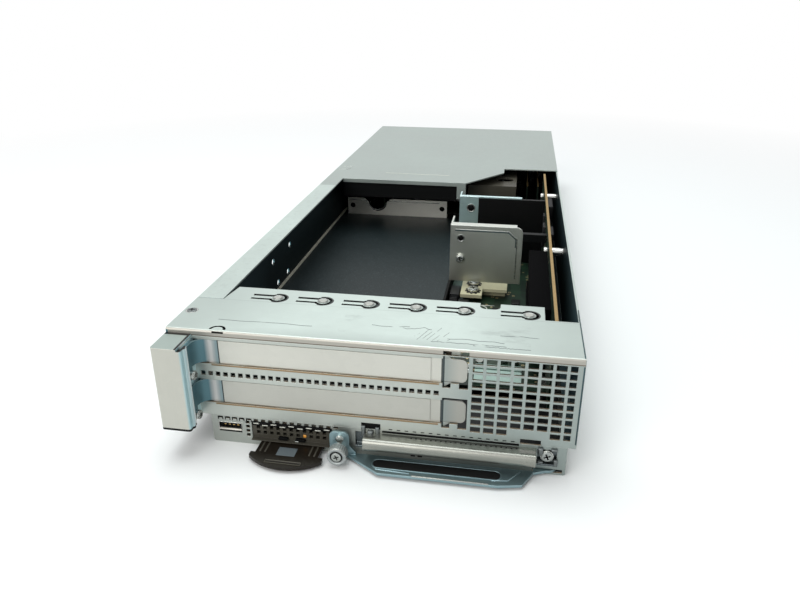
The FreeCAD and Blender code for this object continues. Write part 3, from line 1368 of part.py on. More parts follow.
for build in (lower_pan, lower_front_panel, left_side_wall, right_side_wall, bay_floor, bay_liner,
              front_face_plate, front_top_plate, plate_screw, corner_guard, slot_covers, rear_top_cover,
              bay_rear_bracket, rear_wall, link_connectors, riser_brackets, side_board, sockets, system_board,
              processor, memory, rear_shroud, port, status_panel, buttons, label_tab, adapter_bar,
              release_handle, thumbscrew):
    build()
doc.recompute()

failed = [thing.Label for thing in doc.Objects if {"Invalid", "Error"} & set(thing.State)]
if failed:
    raise RuntimeError("not built: " + ", ".join(failed))
for thing in SUBPARTS:
    if thing.Shape.isNull() or not thing.Shape.isValid():
        raise RuntimeError(f"{thing.Label} has no valid shape")
os.makedirs("parts", exist_ok=True)
for thing in SUBPARTS:
    thing.Shape.exportStep(f"parts/{thing.Label}.step")
    print(thing.Label, len(thing.Shape.Solids), round(thing.Shape.Volume, 1))
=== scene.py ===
# %% [markdown]
# # A server node, dressed
# The solids of this object come ready made at their real size: folded steel sheets, boards, sockets,
# a swinging handle. This lesson gives every sheet its finish, adds the small forms that are too fine
# for the solids, and lights the result as a product photograph on a pale floor.

# %% Load the solids
import functools
import math
import operator
from contextlib import contextmanager

import bpy
from mathutils import Matrix, Quaternion, Vector


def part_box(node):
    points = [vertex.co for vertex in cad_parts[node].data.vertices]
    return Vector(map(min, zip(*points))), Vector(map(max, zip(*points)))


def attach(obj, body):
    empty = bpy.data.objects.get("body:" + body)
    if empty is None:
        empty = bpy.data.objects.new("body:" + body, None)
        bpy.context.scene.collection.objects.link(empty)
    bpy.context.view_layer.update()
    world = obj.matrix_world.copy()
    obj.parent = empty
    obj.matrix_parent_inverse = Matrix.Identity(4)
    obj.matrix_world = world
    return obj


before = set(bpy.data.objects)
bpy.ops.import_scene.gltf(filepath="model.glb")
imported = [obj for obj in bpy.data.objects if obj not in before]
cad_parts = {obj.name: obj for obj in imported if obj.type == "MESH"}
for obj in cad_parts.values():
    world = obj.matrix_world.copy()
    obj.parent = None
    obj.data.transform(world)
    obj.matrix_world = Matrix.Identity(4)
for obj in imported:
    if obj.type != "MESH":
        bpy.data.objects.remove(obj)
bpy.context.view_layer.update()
MM = 0.001

# %% [markdown]
# ## The camera
# A camera that was matched to the photograph comes first, because every later choice is judged through
# it. Yaw and pitch say more to a reader than a matrix does, so the place, the two angles and the lens
# are the only values here.

# %% Camera
VIEW_PLACE = (0.05795, -0.5139, 0.1945)
VIEW_YAW = math.radians(9.577)
VIEW_PITCH = math.radians(23.843)
VIEW_LENS = 31.48
SENSOR_WIDTH = 36.0

bpy.ops.object.select_all(action="DESELECT")
bpy.ops.object.camera_add(location=VIEW_PLACE, rotation=(math.pi / 2 - VIEW_PITCH, 0, VIEW_YAW))
camera = bpy.context.object
camera.data.lens = VIEW_LENS
camera.data.sensor_width = SENSOR_WIDTH
camera.data.clip_start = 0.01
bpy.context.scene.camera = camera
print("camera at", [round(part, 3) for part in camera.location])

# %% [markdown]
# ## Writing finishes as sums
# A finish is a small graph of nodes. Two classes keep it readable: `Shade` wraps one socket, so that
# `1 - mask` or `grain * 0.2` adds the Math nodes by itself, and `Graph` makes every other node with one
# method. What changes over a surface only reaches colour, roughness, metal, emission and the normal.


# %% Shade and Graph
def maths(operation, swapped=False):
    """An operator that adds a Math node; its sides are swapped for a reflected form such as 1 - mask."""
    def operate(shade, other=0.0):
        first, second = (other, shade) if swapped else (shade, other)
        return shade.graph.node("ShaderNodeMath", {"operation": operation}, {0: first, 1: second})
    return operate


class Shade:
    """One socket of a graph, with Python's operators for shader maths."""

    __add__ = __radd__ = maths("ADD")
    __sub__ = maths("SUBTRACT")
    __rsub__ = maths("SUBTRACT", swapped=True)
    __mul__ = __rmul__ = maths("MULTIPLY")
    __or__ = maths("MAXIMUM")
    __gt__ = maths("GREATER_THAN")
    __lt__ = maths("LESS_THAN")
    __abs__ = maths("ABSOLUTE")

    def __init__(self, graph, socket):
        self.graph = graph
        self.socket = socket


class Graph:
    """A tree of nodes: each node is made by one method."""

    def __init__(self, tree):
        self.tree = tree

    def node(self, kind, settings=None, sockets=None, output=0):
        """Adds a node: its settings first, then what feeds its sockets; gives one of its outputs."""
        made = self.tree.nodes.new(kind)
        for name, setting in (settings or {}).items():
            setattr(made, name, setting)
        for name, source in (sockets or {}).items():
            self.feed(made.inputs[name], source)
        return Shade(self, made.outputs[output])

    def feed(self, socket, source):
        if isinstance(source, Shade):
            self.tree.links.new(source.socket, socket)
        elif socket.type == "RGBA" and len(source) == 3:
            socket.default_value = (*source, 1)
        else:
            socket.default_value = source

    def seen(self):
        """1 for rays that show the background: to the camera, off a gloss or through glass."""
        rays = [self.node("ShaderNodeLightPath", output=f"Is {kind} Ray")
                for kind in ("Camera", "Glossy", "Transmission")]
        return rays[0] | rays[1] | rays[2]


print("shader maths ready")


# %% Finish
class Finish(Graph):
    """A material whose graph ends in one Principled shader."""

    def __init__(self, name):
        self.material = bpy.data.materials.new(name)
        self.material.use_nodes = True
        super().__init__(self.material.node_tree)
        self.surface = self.tree.nodes["Principled BSDF"]

    def set(self, **sockets):
        """Feeds the shader; base_color stands for its Base Color socket."""
        for name, source in sockets.items():
            words = name.replace("_", " ").title().replace("Ior", "IOR")
            self.feed(self.surface.inputs[words], source)

    def place(self, stretch=(1, 1, 1), shift=(0, 0, 0)):
        """Object coordinates, stretched and shifted."""
        here = self.node("ShaderNodeTexCoord", output="Object")
        if stretch == (1, 1, 1) and shift == (0, 0, 0):
            return here
        return self.node("ShaderNodeMapping", None, {"Vector": here, "Scale": stretch, "Location": shift})

    def along(self, axis):
        """One object coordinate, x, y or z, in metres."""
        return self.node("ShaderNodeSeparateXYZ", None, {0: self.place()}, "xyz".index(axis))

    def facing(self, axis):
        """How far the surface faces along x, y or z, from -1 to 1."""
        normal = self.node("ShaderNodeTexCoord", output="Normal")
        return self.node("ShaderNodeSeparateXYZ", None, {0: normal}, "xyz".index(axis))

    def noise(self, scale, detail=3.0, rough=0.5, stretch=(1, 1, 1), shift=(0, 0, 0)):
        return self.node("ShaderNodeTexNoise", None, {
            "Vector": self.place(stretch, shift), "Scale": scale, "Detail": detail, "Roughness": rough})

    def cells(self, scale, output="Distance"):
        return self.node("ShaderNodeTexVoronoi", None, {"Vector": self.place(), "Scale": scale}, output)

    def ramp(self, source, low, high):
        """0 below low and 1 above high, straight between."""
        return self.node("ShaderNodeMapRange", None, {"Value": source, "From Min": low, "From Max": high})

    def between(self, source, low, high):
        """1 where the source lies between two values."""
        return (source > low) * (source < high)

    def mix(self, factor, first, second):
        """From the first colour at 0 to the second at 1."""
        return self.node("ShaderNodeMix", {"data_type": "RGBA"}, {0: factor, 6: first, 7: second}, 2)

    def edges(self, radius):
        """1 on the outer edges of a sheet and 0 on its faces, and the normal rounded over them."""
        rounded = self.node("ShaderNodeBevel", {"samples": 4}, {"Radius": radius})
        flat = self.node("ShaderNodeNewGeometry", output="True Normal")
        dot = self.node("ShaderNodeVectorMath", {"operation": "DOT_PRODUCT"},
                        {0: rounded, 1: flat}, "Value")
        return self.ramp(1 - dot, 0.02, 0.25), rounded

    def bump(self, height, strength, distance, normal=None):
        sockets = {"Height": height, "Strength": strength, "Distance": distance}
        if normal is not None:
            sockets["Normal"] = normal
        self.set(normal=self.node("ShaderNodeBump", None, sockets))


def shade_of(colour, amount):
    """A colour made lighter or darker by an amount."""
    return tuple(min(part * amount, 1.0) for part in colour)


print("finishes can be written")

# %% [markdown]
# ## Plated sheet steel
# Most of the node is zinc-plated steel. Close up it has soft clouds from the bath, small crystals, a
# rolling grain along the sheet, and lighter edges, partly rubbed and partly a painted highlight. The
# four are added as small changes of one colour, so a sheet never looks like paint.


# %% Plated steel
class PlatedSteel(Finish):
    """Zinc-plated sheet with clouds, crystals, rolling grain and edges lightened by wear and a painted
    highlight.
    """

    def __init__(self, name, colour, grain_axis="y", metal=0.7, rough=0.42, edge_wear_and_highlight_gain=1.25):
        super().__init__(name)
        stretch = tuple(0.04 if axis == grain_axis else 1 for axis in "xyz")
        clouds = self.noise(16, 4.0, 0.55)
        crystals = self.node("ShaderNodeSeparateColor", None, {0: self.cells(240, "Color")})
        self.grain = self.noise(1800, 2.0, 0.5, stretch)
        tone = (clouds - 0.5) * 0.45 + (crystals - 0.5) * 0.07 + (self.grain - 0.5) * 0.16 + 0.5
        # Edges are lightened, partly as rubbed wear and partly as a painted highlight.
        self.edge, rounded = self.edges(0.4 * MM)
        self.edge_wear_and_highlight_colour = shade_of(colour, edge_wear_and_highlight_gain)
        self.rough = rough + (clouds - 0.5) * 0.22 + (self.grain - 0.5) * 0.12
        self.plain = self.mix(tone, shade_of(colour, 0.80), shade_of(colour, 1.18))
        self.coat()
        self.set(roughness=self.rough, metallic=metal)
        self.bump(self.grain, 0.12, 0.05 * MM, rounded)

    def coat(self, *layers, dull=0.0):
        """Lays colours on the faces where each mask is 1; undulled edges keep their wear and painted
        highlight.
        """
        colour = self.plain
        for mask, layer in layers:
            colour = self.mix(mask, colour, layer)
        self.set(base_color=self.mix((self.edge - dull) * 0.6, colour, self.edge_wear_and_highlight_colour))


print("plated steel ready")

# %% [markdown]
# ## Measuring as the maker does
# Places on this object are given as on a drawing: from its left side, its front face and its base, in
# millimetres. One function turns them into the shared frame, and everything below uses it.

# %% Places
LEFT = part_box("left_side_wall")[0].x
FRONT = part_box("lower_front_panel")[0].y
TOP = 58.0


def spot(start, setback, rise):
    """A point from its distances to the left side, the front face and the base."""
    return Vector((LEFT + start * MM, FRONT + setback * MM, rise * MM))


def across(start):
    return spot(start, 0, 0).x


def back(setback):
    return spot(0, setback, 0).y


print("left side at", round(LEFT, 4), "front at", round(FRONT, 4))

# %% [markdown]
# ## Finishes of the sheets
# The top plate has been handled: scratches wander over it, short strokes lean across it, a fold line runs
# along it. Painted shade darkens its ends, its front lip, a line under the lip, the walls of its slits and
# the plate beside them. The side walls are plated outside and black inside with a painted sheen, so their
# finish looks at which way a surface faces. The face's upward cut edges are raw and brown.

# %% Sheet colours
PLATE = (0.55, 0.625, 0.59)
FACE = (0.46, 0.49, 0.455)
COVER = (0.58, 0.58, 0.53)
# Near black painted shadow: the plate's slit walls and the guard's rims and foot.
SHADOW_BLACK = (0.002, 0.002, 0.002)
# Colour of the faces that look to the front: a warm painted shade.
WARM_LIP_SHADE = (0.40, 0.385, 0.345)
RAW_EDGE = (0.27, 0.185, 0.10)
# Blue painted shade: on faces looking to the front and on the covers' left bend.
BLUE_SHADE = (0.085, 0.18, 0.21)
GLEAM = (0.62, 0.62, 0.61)
IN_SHADE = (0.20, 0.26, 0.26)
BLACK = (0.0022, 0.0026, 0.0028)
SCRATCHED = (0.13, 0.15, 0.15)
POLISHED = (0.50, 0.51, 0.475)
print("plate colour", PLATE, "face colour", FACE)

# %% Scratches
SCRATCHES = [
    (90, 107, 17.5, 5, 90), (104, 117, 17.0, 9, 160), (124, 149, 9.5, 4, 110),
    (147, 165, 16.0, 9, 70), (118, 150, 6.0, 2, 300), (136, 160, 4.6, 2, 700), (20, 64, 12.0, 3, 40)]
STROKES = [
    ((110.4, 9.5), (112.4, 13.0)), ((111.8, 6.5), (116.0, 17.5)), ((114.2, 8.0), (117.4, 15.0)),
    ((116.0, 7.0), (121.2, 19.5)), ((118.6, 6.8), (121.2, 12.5)), ((120.6, 6.5), (125.0, 15.5)),
    ((124.0, 6.2), (125.8, 9.0))]


def trail(steel, x, y, start, end, setback, swing, pace):
    """A thin scratch that wanders from side to side on its way across the plate."""
    sway = steel.noise(pace, 1.0, 0.5, (1, 0, 0), (0, setback, 0)) - 0.5
    off = abs(y - sway * (swing * MM) - back(setback))
    return (off < 0.26 * MM) * steel.between(x, across(start), across(end))


def stroke(steel, x, y, near, far):
    """A short slanted scratch from one place on the plate to another, a little shaky."""
    lean = (far[0] - near[0]) / (far[1] - near[1])
    shake = (steel.noise(500, 1.0, 0.5, (0, 1, 0), (near[0], 0, 0)) - 0.5) * 0.6 * MM
    off = abs(x - shake - across(near[0]) - (y - back(near[1])) * lean)
    return (off < 0.13 * MM) * steel.between(y, back(near[1]), back(far[1]))


print(len(SCRATCHES), "scratches and", len(STROKES), "strokes")

# %% Top plate and guard
FINGERS = [39.0 + 22.6 * index for index in range(5)] + [159.4]
FINGER_SETBACK = 39.2


def slit_shadows(steel, x, y):
    """Painted shadow on the plate beside the finger slits: behind each stem and right of each head."""
    aside = y - back(FINGER_SETBACK)
    edges = []
    for head in FINGERS:
        along = x - across(head)
        from_centre = along * along + aside * aside
        crescent = steel.between(from_centre, (4.3 * MM) ** 2, (5.2 * MM) ** 2) * (along > -2.0 * MM)
        stem = steel.between(aside, 2.6 * MM, 3.2 * MM) * steel.between(along, -13.2 * MM, -3.4 * MM)
        edges += [crescent, stem]
    return functools.reduce(operator.or_, edges)


def scratched_plate():
    """Top plate: scratches, strokes, a fold line, polished dimples; painted shade at its ends, lip and
    slits.
    """
    steel = PlatedSteel("plate_scratched", PLATE, "x", 0.7, 0.42, 1.06)
    x, y, z = (steel.along(axis) for axis in "xyz")
    trails = [trail(steel, x, y, *course) for course in SCRATCHES]
    trails += [stroke(steel, x, y, *ends) for ends in STROKES]
    broken = steel.ramp(steel.noise(150, 2.0), 0.36, 0.44)
    worn = steel.between(x, across(76), across(160)) * steel.between(y, back(2), back(28))
    rubbed = steel.ramp(steel.noise(70, 5.0, 0.7, (0.4, 1, 1)), 0.58, 0.70) * 0.25
    fold = steel.between(y, back(33.4), back(34.0)) * 0.16
    # Darker towards its left and right ends and towards its front edge: painted shade.
    sides = steel.ramp(abs(x - across(92)), 0.035, 0.085) * 0.7 | steel.ramp(y, back(10), back(1)) * 0.6
    scratched = functools.reduce(operator.or_, trails) * broken * 0.9
    mark = scratched | worn * rubbed | fold
    # Faces looking to the front, the lip, take the warm painted shade.
    lip = steel.ramp(steel.facing("y"), -0.15, -0.8)
    # Upright walls behind the lip, mostly in the slits: raw steel, rough and not metal, painted black as
    # shade.
    shaded_walls = (abs(steel.facing("z")) < 0.5) * (y > back(0.5))
    # The plate round the slits is darkened as painted shadow, so the slits read wider.
    slit_shade = slit_shadows(steel, x, y)
    dimple = z > (TOP + 0.2) * MM
    # Below z 55.5 mm, along the lip's lower edge, a dark brown painted shadow line.
    steel.coat((sides, shade_of(PLATE, 0.7)), (mark, SCRATCHED), (lip, WARM_LIP_SHADE),
               ((z < 55.5 * MM) * 0.8, (0.13, 0.10, 0.075)), (shaded_walls, SHADOW_BLACK),
               (slit_shade * 0.9, (0.02, 0.02, 0.02)), (dimple, POLISHED), dull=slit_shade | lip * 0.7)
    steel.set(roughness=steel.rough - dimple * 0.2 + shaded_walls * 0.4, metallic=0.7 - shaded_walls * 0.7,
              specular_ior_level=0.15)
    return steel


def guard_steel():
    """Corner guard, warm in front; painted shade on top, rims and foot; painted blue shade and highlight on
    its right.
    """
    steel = PlatedSteel("guard_plated", (0.50, 0.50, 0.45), "z", 0.6)
    x, y, z = (steel.along(axis) for axis in "xyz")
    # Its top darker and its rims and foot black: painted shade.
    top = steel.facing("z") > 0.5
    rim = top * ((y > back(-1.8)) | (x > across(10.8)))
    # The right side is blue with a lighter stripe over the bead: painted shade and a painted highlight.
    side = steel.ramp(steel.facing("x"), 0.2, 0.9)
    bead_highlight = 1 - steel.ramp(abs(y - back(-9.0)), 1.5 * MM, 4.0 * MM)
    blue_shading = steel.mix(bead_highlight, (0.42, 0.63, 0.67), (0.86, 0.95, 0.97))
    dark = rim | (z < 15.6 * MM)
    steel.coat((top, (0.33, 0.39, 0.36)), (side, blue_shading), (dark, SHADOW_BLACK), dull=dark)
    steel.set(metallic=0.6 - side * 0.4)
    return steel


print(len(FINGERS), "spring fingers on the top plate")


# %% Walls, face and covers
def wall_steel(name, inside):
    """Plated wall worn on top, black on foot and inside, which faces +1 right or -1 left; painted sheen and
    blue shade.
    """
    steel = PlatedSteel(name, shade_of(PLATE, 0.92))
    y, z = steel.along("y"), steel.along("z")
    inner = ((steel.facing("x") * inside > 0.5) | (steel.facing("z") > 0.5)) * (z < (TOP - 1.2) * MM)
    # The black lightens upwards and towards the front: painted sheen and a painted reflection.
    sheen = steel.mix(steel.ramp(z, 30 * MM, 52 * MM), (0.007, 0.012, 0.013), (0.018, 0.031, 0.035))
    sheen = steel.mix(steel.ramp(y, back(130), back(60)), sheen, (0.045, 0.075, 0.085))
    worn = (steel.facing("z") > 0.5) * steel.ramp(steel.noise(260, 6.0, 0.75), 0.52, 0.66) * 0.3
    # Faces looking to the front are blue: painted shade.
    steel.coat((worn, shade_of(PLATE, 0.6)), (steel.facing("y") < -0.5, BLUE_SHADE), (inner, sheen))
    steel.set(metallic=0.7 - inner * 0.65, roughness=steel.rough + inner * 0.12, specular_ior_level=0.08)
    return steel


def face_steel(name, colour):
    """Front sheet: cool, painted shade to the right, painted blue reflection on its left flange, raw brown
    upward edges.
    """
    steel = PlatedSteel(name, colour, "z", 0.65, 0.42, 1.4)
    # Darker towards the right: painted shade.
    right = steel.ramp(steel.along("x"), across(116), across(136)) * 0.55
    # The left flange, looking right, in light blue: a painted reflection.
    flange = (steel.facing("x") > 0.5) * (steel.along("x") < across(13))
    raw = (steel.facing("z") > 0.7) * steel.ramp(steel.noise(120, 2.0), 0.2, 0.5)
    steel.coat((right, IN_SHADE), (flange, (0.52, 0.72, 0.76)), (raw * 0.9, RAW_EDGE))
    return steel


def cover_steel(name, colour):
    """Slot cover, warm: painted blue shade and gleam on its left bend, painted shadow at the step, a shaded
    tongue.
    """
    steel = PlatedSteel(name, colour, "x", 0.55, 0.45, 1.2)
    x = steel.along("x")
    # The bend at the left: painted blue shade with a painted gleam.
    blue_shading = steel.mix(steel.ramp(x, across(20.5), across(22.4)), BLUE_SHADE, (0.25, 0.33, 0.35))
    gleam = 1 - steel.ramp(abs(x - across(19.6)), 0.5 * MM, 2.8 * MM)
    bend_shading = steel.mix(gleam, blue_shading, GLEAM)
    # The tongue darker and cooler near its recess: painted shade.
    tongue = steel.ramp(x, across(123.4), across(125.4)) * 0.45
    tongue_shade = steel.ramp(x, across(131), across(125)) * (x > across(124)) * 0.6
    # Dark lines at the step and beside the tongue: painted shadow.
    dark = steel.between(x, across(23.0), across(23.8)) | steel.between(x, across(123.3), across(124.7))
    steel.coat((tongue, shade_of(colour, 0.45)), (tongue_shade, IN_SHADE), (x < across(23.2), bend_shading),
               (dark * 0.9, (0.010, 0.022, 0.027)), dull=dark)
    return steel


print("sheet finishes ready")

# %% [markdown]
# ## Black finish, film and plastics
# The tray is black inside, and its floor carries a film with a fine tooth that catches a little light.
# Plastics differ by gloss: connectors are dull, the label tab is shiny and dark brown.


# %% Dark finishes
def black_finish(name, flange=False):
    """Black coat with orange peel; painted highlights on its edges and along a floor flange's top."""
    paint = Finish(name)
    peel = paint.noise(700, 3.0)
    dust = paint.noise(30, 4.0, 0.6)
    edge, rounded = paint.edges(0.35 * MM)
    plain = paint.mix(dust, shade_of(BLACK, 0.7), shade_of(BLACK, 1.6))
    # Edges a little lighter: a painted highlight.
    colour = paint.mix(edge * 0.25, plain, (0.10, 0.11, 0.11))
    if flange:
        # A cream line along the flange's top: a painted highlight.
        flange_highlight = (paint.along("z") > 15.7 * MM) * (paint.along("x") < across(3))
        colour = paint.mix(flange_highlight, colour, (0.72, 0.68, 0.56))
    paint.set(base_color=colour, roughness=0.5 + (dust - 0.5) * 0.2, specular_ior_level=0.12)
    paint.bump(peel, 0.15, 0.06 * MM, rounded)
    return paint


def insulating_film():
    """Charcoal film with a fine tooth."""
    film = Finish("liner_film")
    tooth = film.noise(800, 2.0, 0.6)
    clouds = film.noise(9, 3.0)
    speck = film.ramp(tooth, 0.54, 0.68)
    plain = film.mix(clouds, (0.0045, 0.0095, 0.0105), (0.010, 0.018, 0.020))
    film.set(base_color=film.mix(speck * 0.6, plain, (0.055, 0.072, 0.076)),
             roughness=0.5 + (tooth - 0.5) * 0.3, specular_ior_level=0.3)
    film.bump(tooth, 0.35, 0.08 * MM)
    return film


def moulded(name, colour, rough=0.45, coat=0.0, tooth=0.12, shine=0.3):
    """Moulded plastic with a fine tooth, faint flow marks and edges lightened as a painted highlight."""
    plastic = Finish(name)
    grain = plastic.noise(1400, 2.0)
    flow = plastic.noise(60, 3.0, 0.5, (1, 0.3, 1))
    edge, rounded = plastic.edges(0.25 * MM)
    plain = plastic.mix(flow, shade_of(colour, 0.8), shade_of(colour, 1.2))
    # Lighter edges: a painted highlight.
    plastic.set(base_color=plastic.mix(edge * 0.35, plain, shade_of(colour, 1.8)),
                roughness=rough + (grain - 0.5) * 0.15 + (flow - 0.5) * 0.1, coat_weight=coat,
                specular_ior_level=shine)
    plastic.bump(grain, tooth, 0.05 * MM, rounded)
    return plastic


print("dark finishes ready")

# %% [markdown]
# ## Boards
# A circuit board is a green lacquer over copper. Traces show as lighter steps under the lacquer, holes
# as small gold rings, and the sawn rim shows the tan laminate.


# %% Circuit board
def circuit_board(name, rim_axis):
    """Green lacquer with traces and plated holes; the rim that looks along an axis is bare laminate."""
    board = Finish(name)
    rows = board.noise(150, 0.0, 0.5, (1, 0.12, 1))
    columns = board.noise(150, 0.0, 0.5, (0.12, 1, 0.3), (2, 5, 1))
    fine = board.node("ShaderNodeTexWave", {"bands_direction": "DIAGONAL"}, {
        "Vector": board.place(), "Scale": 260, "Distortion": 2.0})
    trace = board.ramp(rows, 0.5, 0.53) * 0.4 + board.ramp(columns, 0.53, 0.56) * 0.4 + fine * 0.15
    green = board.mix(trace, (0.004, 0.012, 0.007), (0.012, 0.038, 0.019))
    ring = board.between(board.cells(190), 0.10, 0.19)
    gold = board.mix(ring, green, (0.50, 0.42, 0.24))
    rim = board.facing(rim_axis) > 0.6
    fibre = board.noise(800, 2.0)
    tan = board.mix(fibre, (0.26, 0.17, 0.07), (0.42, 0.29, 0.13))
    board.set(base_color=board.mix(rim, gold, tan), metallic=ring * (1 - rim) * 0.8,
              roughness=0.4 + rim * 0.3 + (fibre - 0.5) * 0.1, specular_ior_level=0.35)
    board.bump(trace, 0.2, 0.05 * MM)
    return board


print("board finish ready")

# %% [markdown]
# ## Dressing the solids
# Every solid now takes its finish. A solid's mesh is never touched: only its material slots change.


# %% Sheets
def wear(finish, *names):
    """Puts a finish on solids, in place of what they had."""
    for name in names:
        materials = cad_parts[name].data.materials
        materials.clear()
        materials.append(finish.material)
    print(finish.material.name, "on", *names)
    return finish


wear(scratched_plate(), "front_top_plate")
wear(guard_steel(), "corner_guard")
wear(PlatedSteel("sheet_plated", shade_of(PLATE, 0.66)), "rear_top_cover", "rear_wall")
pan_finish = wear(PlatedSteel("pan_plated", FACE), "lower_pan")
pan_finish.coat((pan_finish.facing("z") > 0.5, shade_of(BLACK, 2.5)))
wear(wall_steel("left_wall", 1), "left_side_wall")
wear(wall_steel("right_wall", -1), "right_side_wall")
wear(face_steel("face_plated", FACE), "front_face_plate")
# The lower panel takes the face's colour darkened: painted shade.
wear(face_steel("lower_face_shaded", shade_of(FACE, 0.82)), "lower_front_panel")
cover_finish = wear(cover_steel("cover_plated", COVER), "slot_cover_upper")
wear(cover_steel("cover_plated_shaded", shade_of(COVER, 0.80)), "slot_cover_lower")

# %% Brackets, bar, handle and fasteners
bracket_finish = PlatedSteel("bracket_plated", (0.63, 0.66, 0.605), "x", 0.85, 0.3, 1.7)
# Darker and warmer towards its foot: painted shade.
foot_shade = 1 - bracket_finish.ramp(bracket_finish.along("z"), 14 * MM, 40 * MM)
bracket_finish.coat((foot_shade * 0.7, (0.42, 0.41, 0.33)))
wear(bracket_finish, "riser_bracket_front")
wear(PlatedSteel("rear_bracket_plated", (0.62, 0.83, 0.84), "x", 0.85, 0.3, 1.7), "riser_bracket_rear")
wear(PlatedSteel("far_bracket_plated", (0.75, 0.74, 0.68), "x", 0.6, 0.38, 1.3), "bay_rear_bracket")
bar_finish = wear(PlatedSteel("bar_plated", (0.30, 0.305, 0.275), "x", 0.85, 0.28, 1.7), "adapter_bar")
wear(PlatedSteel("clip_plated", (0.10, 0.115, 0.12), "x", 0.9, 0.22, 3.0), "adapter_clips")
handle_finish = PlatedSteel("handle_plated", (0.16, 0.225, 0.24), "x", 0.75, 0.36, 2.6)
# Faces looking to the front are lighter: a painted highlight.
handle_finish.coat((handle_finish.facing("y") < -0.5, (0.25, 0.36, 0.39)))
wear(handle_finish, "release_handle")
wear(PlatedSteel("bright_plated", (0.62, 0.63, 0.60), "z", 0.95, 0.22, 1.3), "top_plate_screw",
     "slot_cover_screws", "riser_bracket_screw", "side_board_posts", "side_board_screws", "board_standoffs",
     "board_screws", "power_socket_screws", "usb_shell", "port_board_standoffs", "adapter_screw",
     "handle_pivot", "handle_thumbscrew", "thumbscrew_ferrule", "handle_rivet", "processor")
wear(PlatedSteel("sink_fins", (0.62, 0.63, 0.64), "y", 0.9, 0.35, 1.2), "heat_sink")

# %% Black parts, plastics and boards
wear(black_finish("tray_black"), "rear_baffle", "board_brace")
wear(black_finish("floor_black", True), "bay_floor")
wear(insulating_film(), "bay_liner")
wear(moulded("connector_black", (0.003, 0.0032, 0.0034), 0.45, shine=0.14), "card_guide_plate",
     "processor_socket", "memory_sockets", "usb_tongue", "button_switches", "signal_connector",
     "power_connector", "tab_guides", "power_button", "locate_button")
wear(moulded("socket_black", (0.0025, 0.0025, 0.0028), 0.8, shine=0.02), "riser_socket", "card_sockets")
wear(moulded("connector_beige", (0.56, 0.535, 0.36), 0.5), "power_socket")
status_finish = wear(moulded("status_moulded", (0.062, 0.057, 0.044), 0.4), "status_panel", "rear_shroud")
wear(moulded("tab_gloss", (0.010, 0.0070, 0.0042), 0.32, 0.06, 0.05, 0.22), "label_tab")
wear(moulded("strip_black", (0.007, 0.007, 0.007), 0.4), "handle_label_strip")
wear(circuit_board("board_flat", "y"), "system_board", "port_board")
wear(circuit_board("board_upright", "z"), "side_board", "memory_modules")

# %% [markdown]
# ## Modelling by hand, in code
# Small forms are modelled as they would be with the mouse: add a primitive, pick faces, inset or extrude
# them, round the edges with a Bevel modifier and apply it. These helpers are the few moves that repeat.
# An operator acts on all that is selected, so each move deselects everything first.

# %% Starting shapes
AXES = {"x": Vector((1, 0, 0)), "-y": Vector((0, -1, 0)), "y": Vector((0, 1, 0)), "z": Vector((0, 0, 1))}


def alone(piece):
    """Selects one piece only."""
    bpy.ops.object.select_all(action="DESELECT")
    piece.select_set(True)
    bpy.context.view_layer.objects.active = piece


def settled():
    """Puts the place, turn and size of the newest piece into its mesh."""
    bpy.ops.object.transform_apply(location=True, rotation=True, scale=True)
    return bpy.context.object


def block(low, high):
    """A block between two corners."""
    low, high = spot(*low), spot(*high)
    bpy.ops.object.select_all(action="DESELECT")
    bpy.ops.mesh.primitive_cube_add(size=1, location=(low + high) / 2, scale=high - low)
    return settled()


def disc(centre, radius, height, axis="z", sides=28):
    """A round that rises from its centre along an axis."""
    out = AXES[axis]
    bpy.ops.object.select_all(action="DESELECT")
    bpy.ops.mesh.primitive_cylinder_add(
        vertices=sides, radius=radius * MM, depth=height * MM,
        location=spot(*centre) + out * height * MM / 2,
        rotation=AXES["z"].rotation_difference(out).to_euler())
    return settled()


def blade(centre, axis, angle, size):
    """A thin block across an axis, turned about that axis."""
    turn = AXES["z"].rotation_difference(AXES[axis]) @ Quaternion((0, 0, 1), angle)
    bpy.ops.object.select_all(action="DESELECT")
    bpy.ops.mesh.primitive_cube_add(
        size=1, location=spot(*centre), rotation=turn.to_euler(), scale=Vector(size) * MM)
    return settled()


print("blocks, discs and blades ready")


# %% Shaping moves
@contextmanager
def shaping(piece, chosen, kind="FACE"):
    """Edit mode, with the faces or edges selected that a test chooses."""
    alone(piece)
    bpy.ops.object.mode_set(mode="EDIT")
    bpy.ops.mesh.select_mode(type=kind)
    bpy.ops.mesh.select_all(action="DESELECT")
    bpy.ops.object.mode_set(mode="OBJECT")
    for part in piece.data.polygons if kind == "FACE" else piece.data.edges:
        part.select = chosen(part)
    bpy.ops.object.mode_set(mode="EDIT")
    yield
    bpy.ops.object.mode_set(mode="OBJECT")


def looking(axis):
    """Chooses the faces that look along an axis."""
    return lambda face: face.normal.dot(AXES[axis]) > 0.9


def press(piece, axis, *steps):
    """Insets the faces that look along an axis, in steps of how far inwards and how far out."""
    with shaping(piece, looking(axis)):
        for inwards, out in steps:
            bpy.ops.mesh.inset(thickness=inwards * MM, depth=out * MM)
    return piece


def apply_modifier(piece, kind, **settings):
    """Adds a modifier with its settings and applies it."""
    alone(piece)
    bpy.ops.object.modifier_add(type=kind)
    modifier = piece.modifiers[-1]
    for name, setting in settings.items():
        setattr(modifier, name, setting)
    bpy.ops.object.modifier_apply(modifier=modifier.name)


def soften(piece, width, segments=2):
    """Rounds every sharp edge and shades the rounds smooth."""
    apply_modifier(piece, "BEVEL", width=width * MM, segments=segments, limit_method="ANGLE")
    bpy.ops.object.shade_smooth_by_angle(angle=math.radians(40))
    return piece


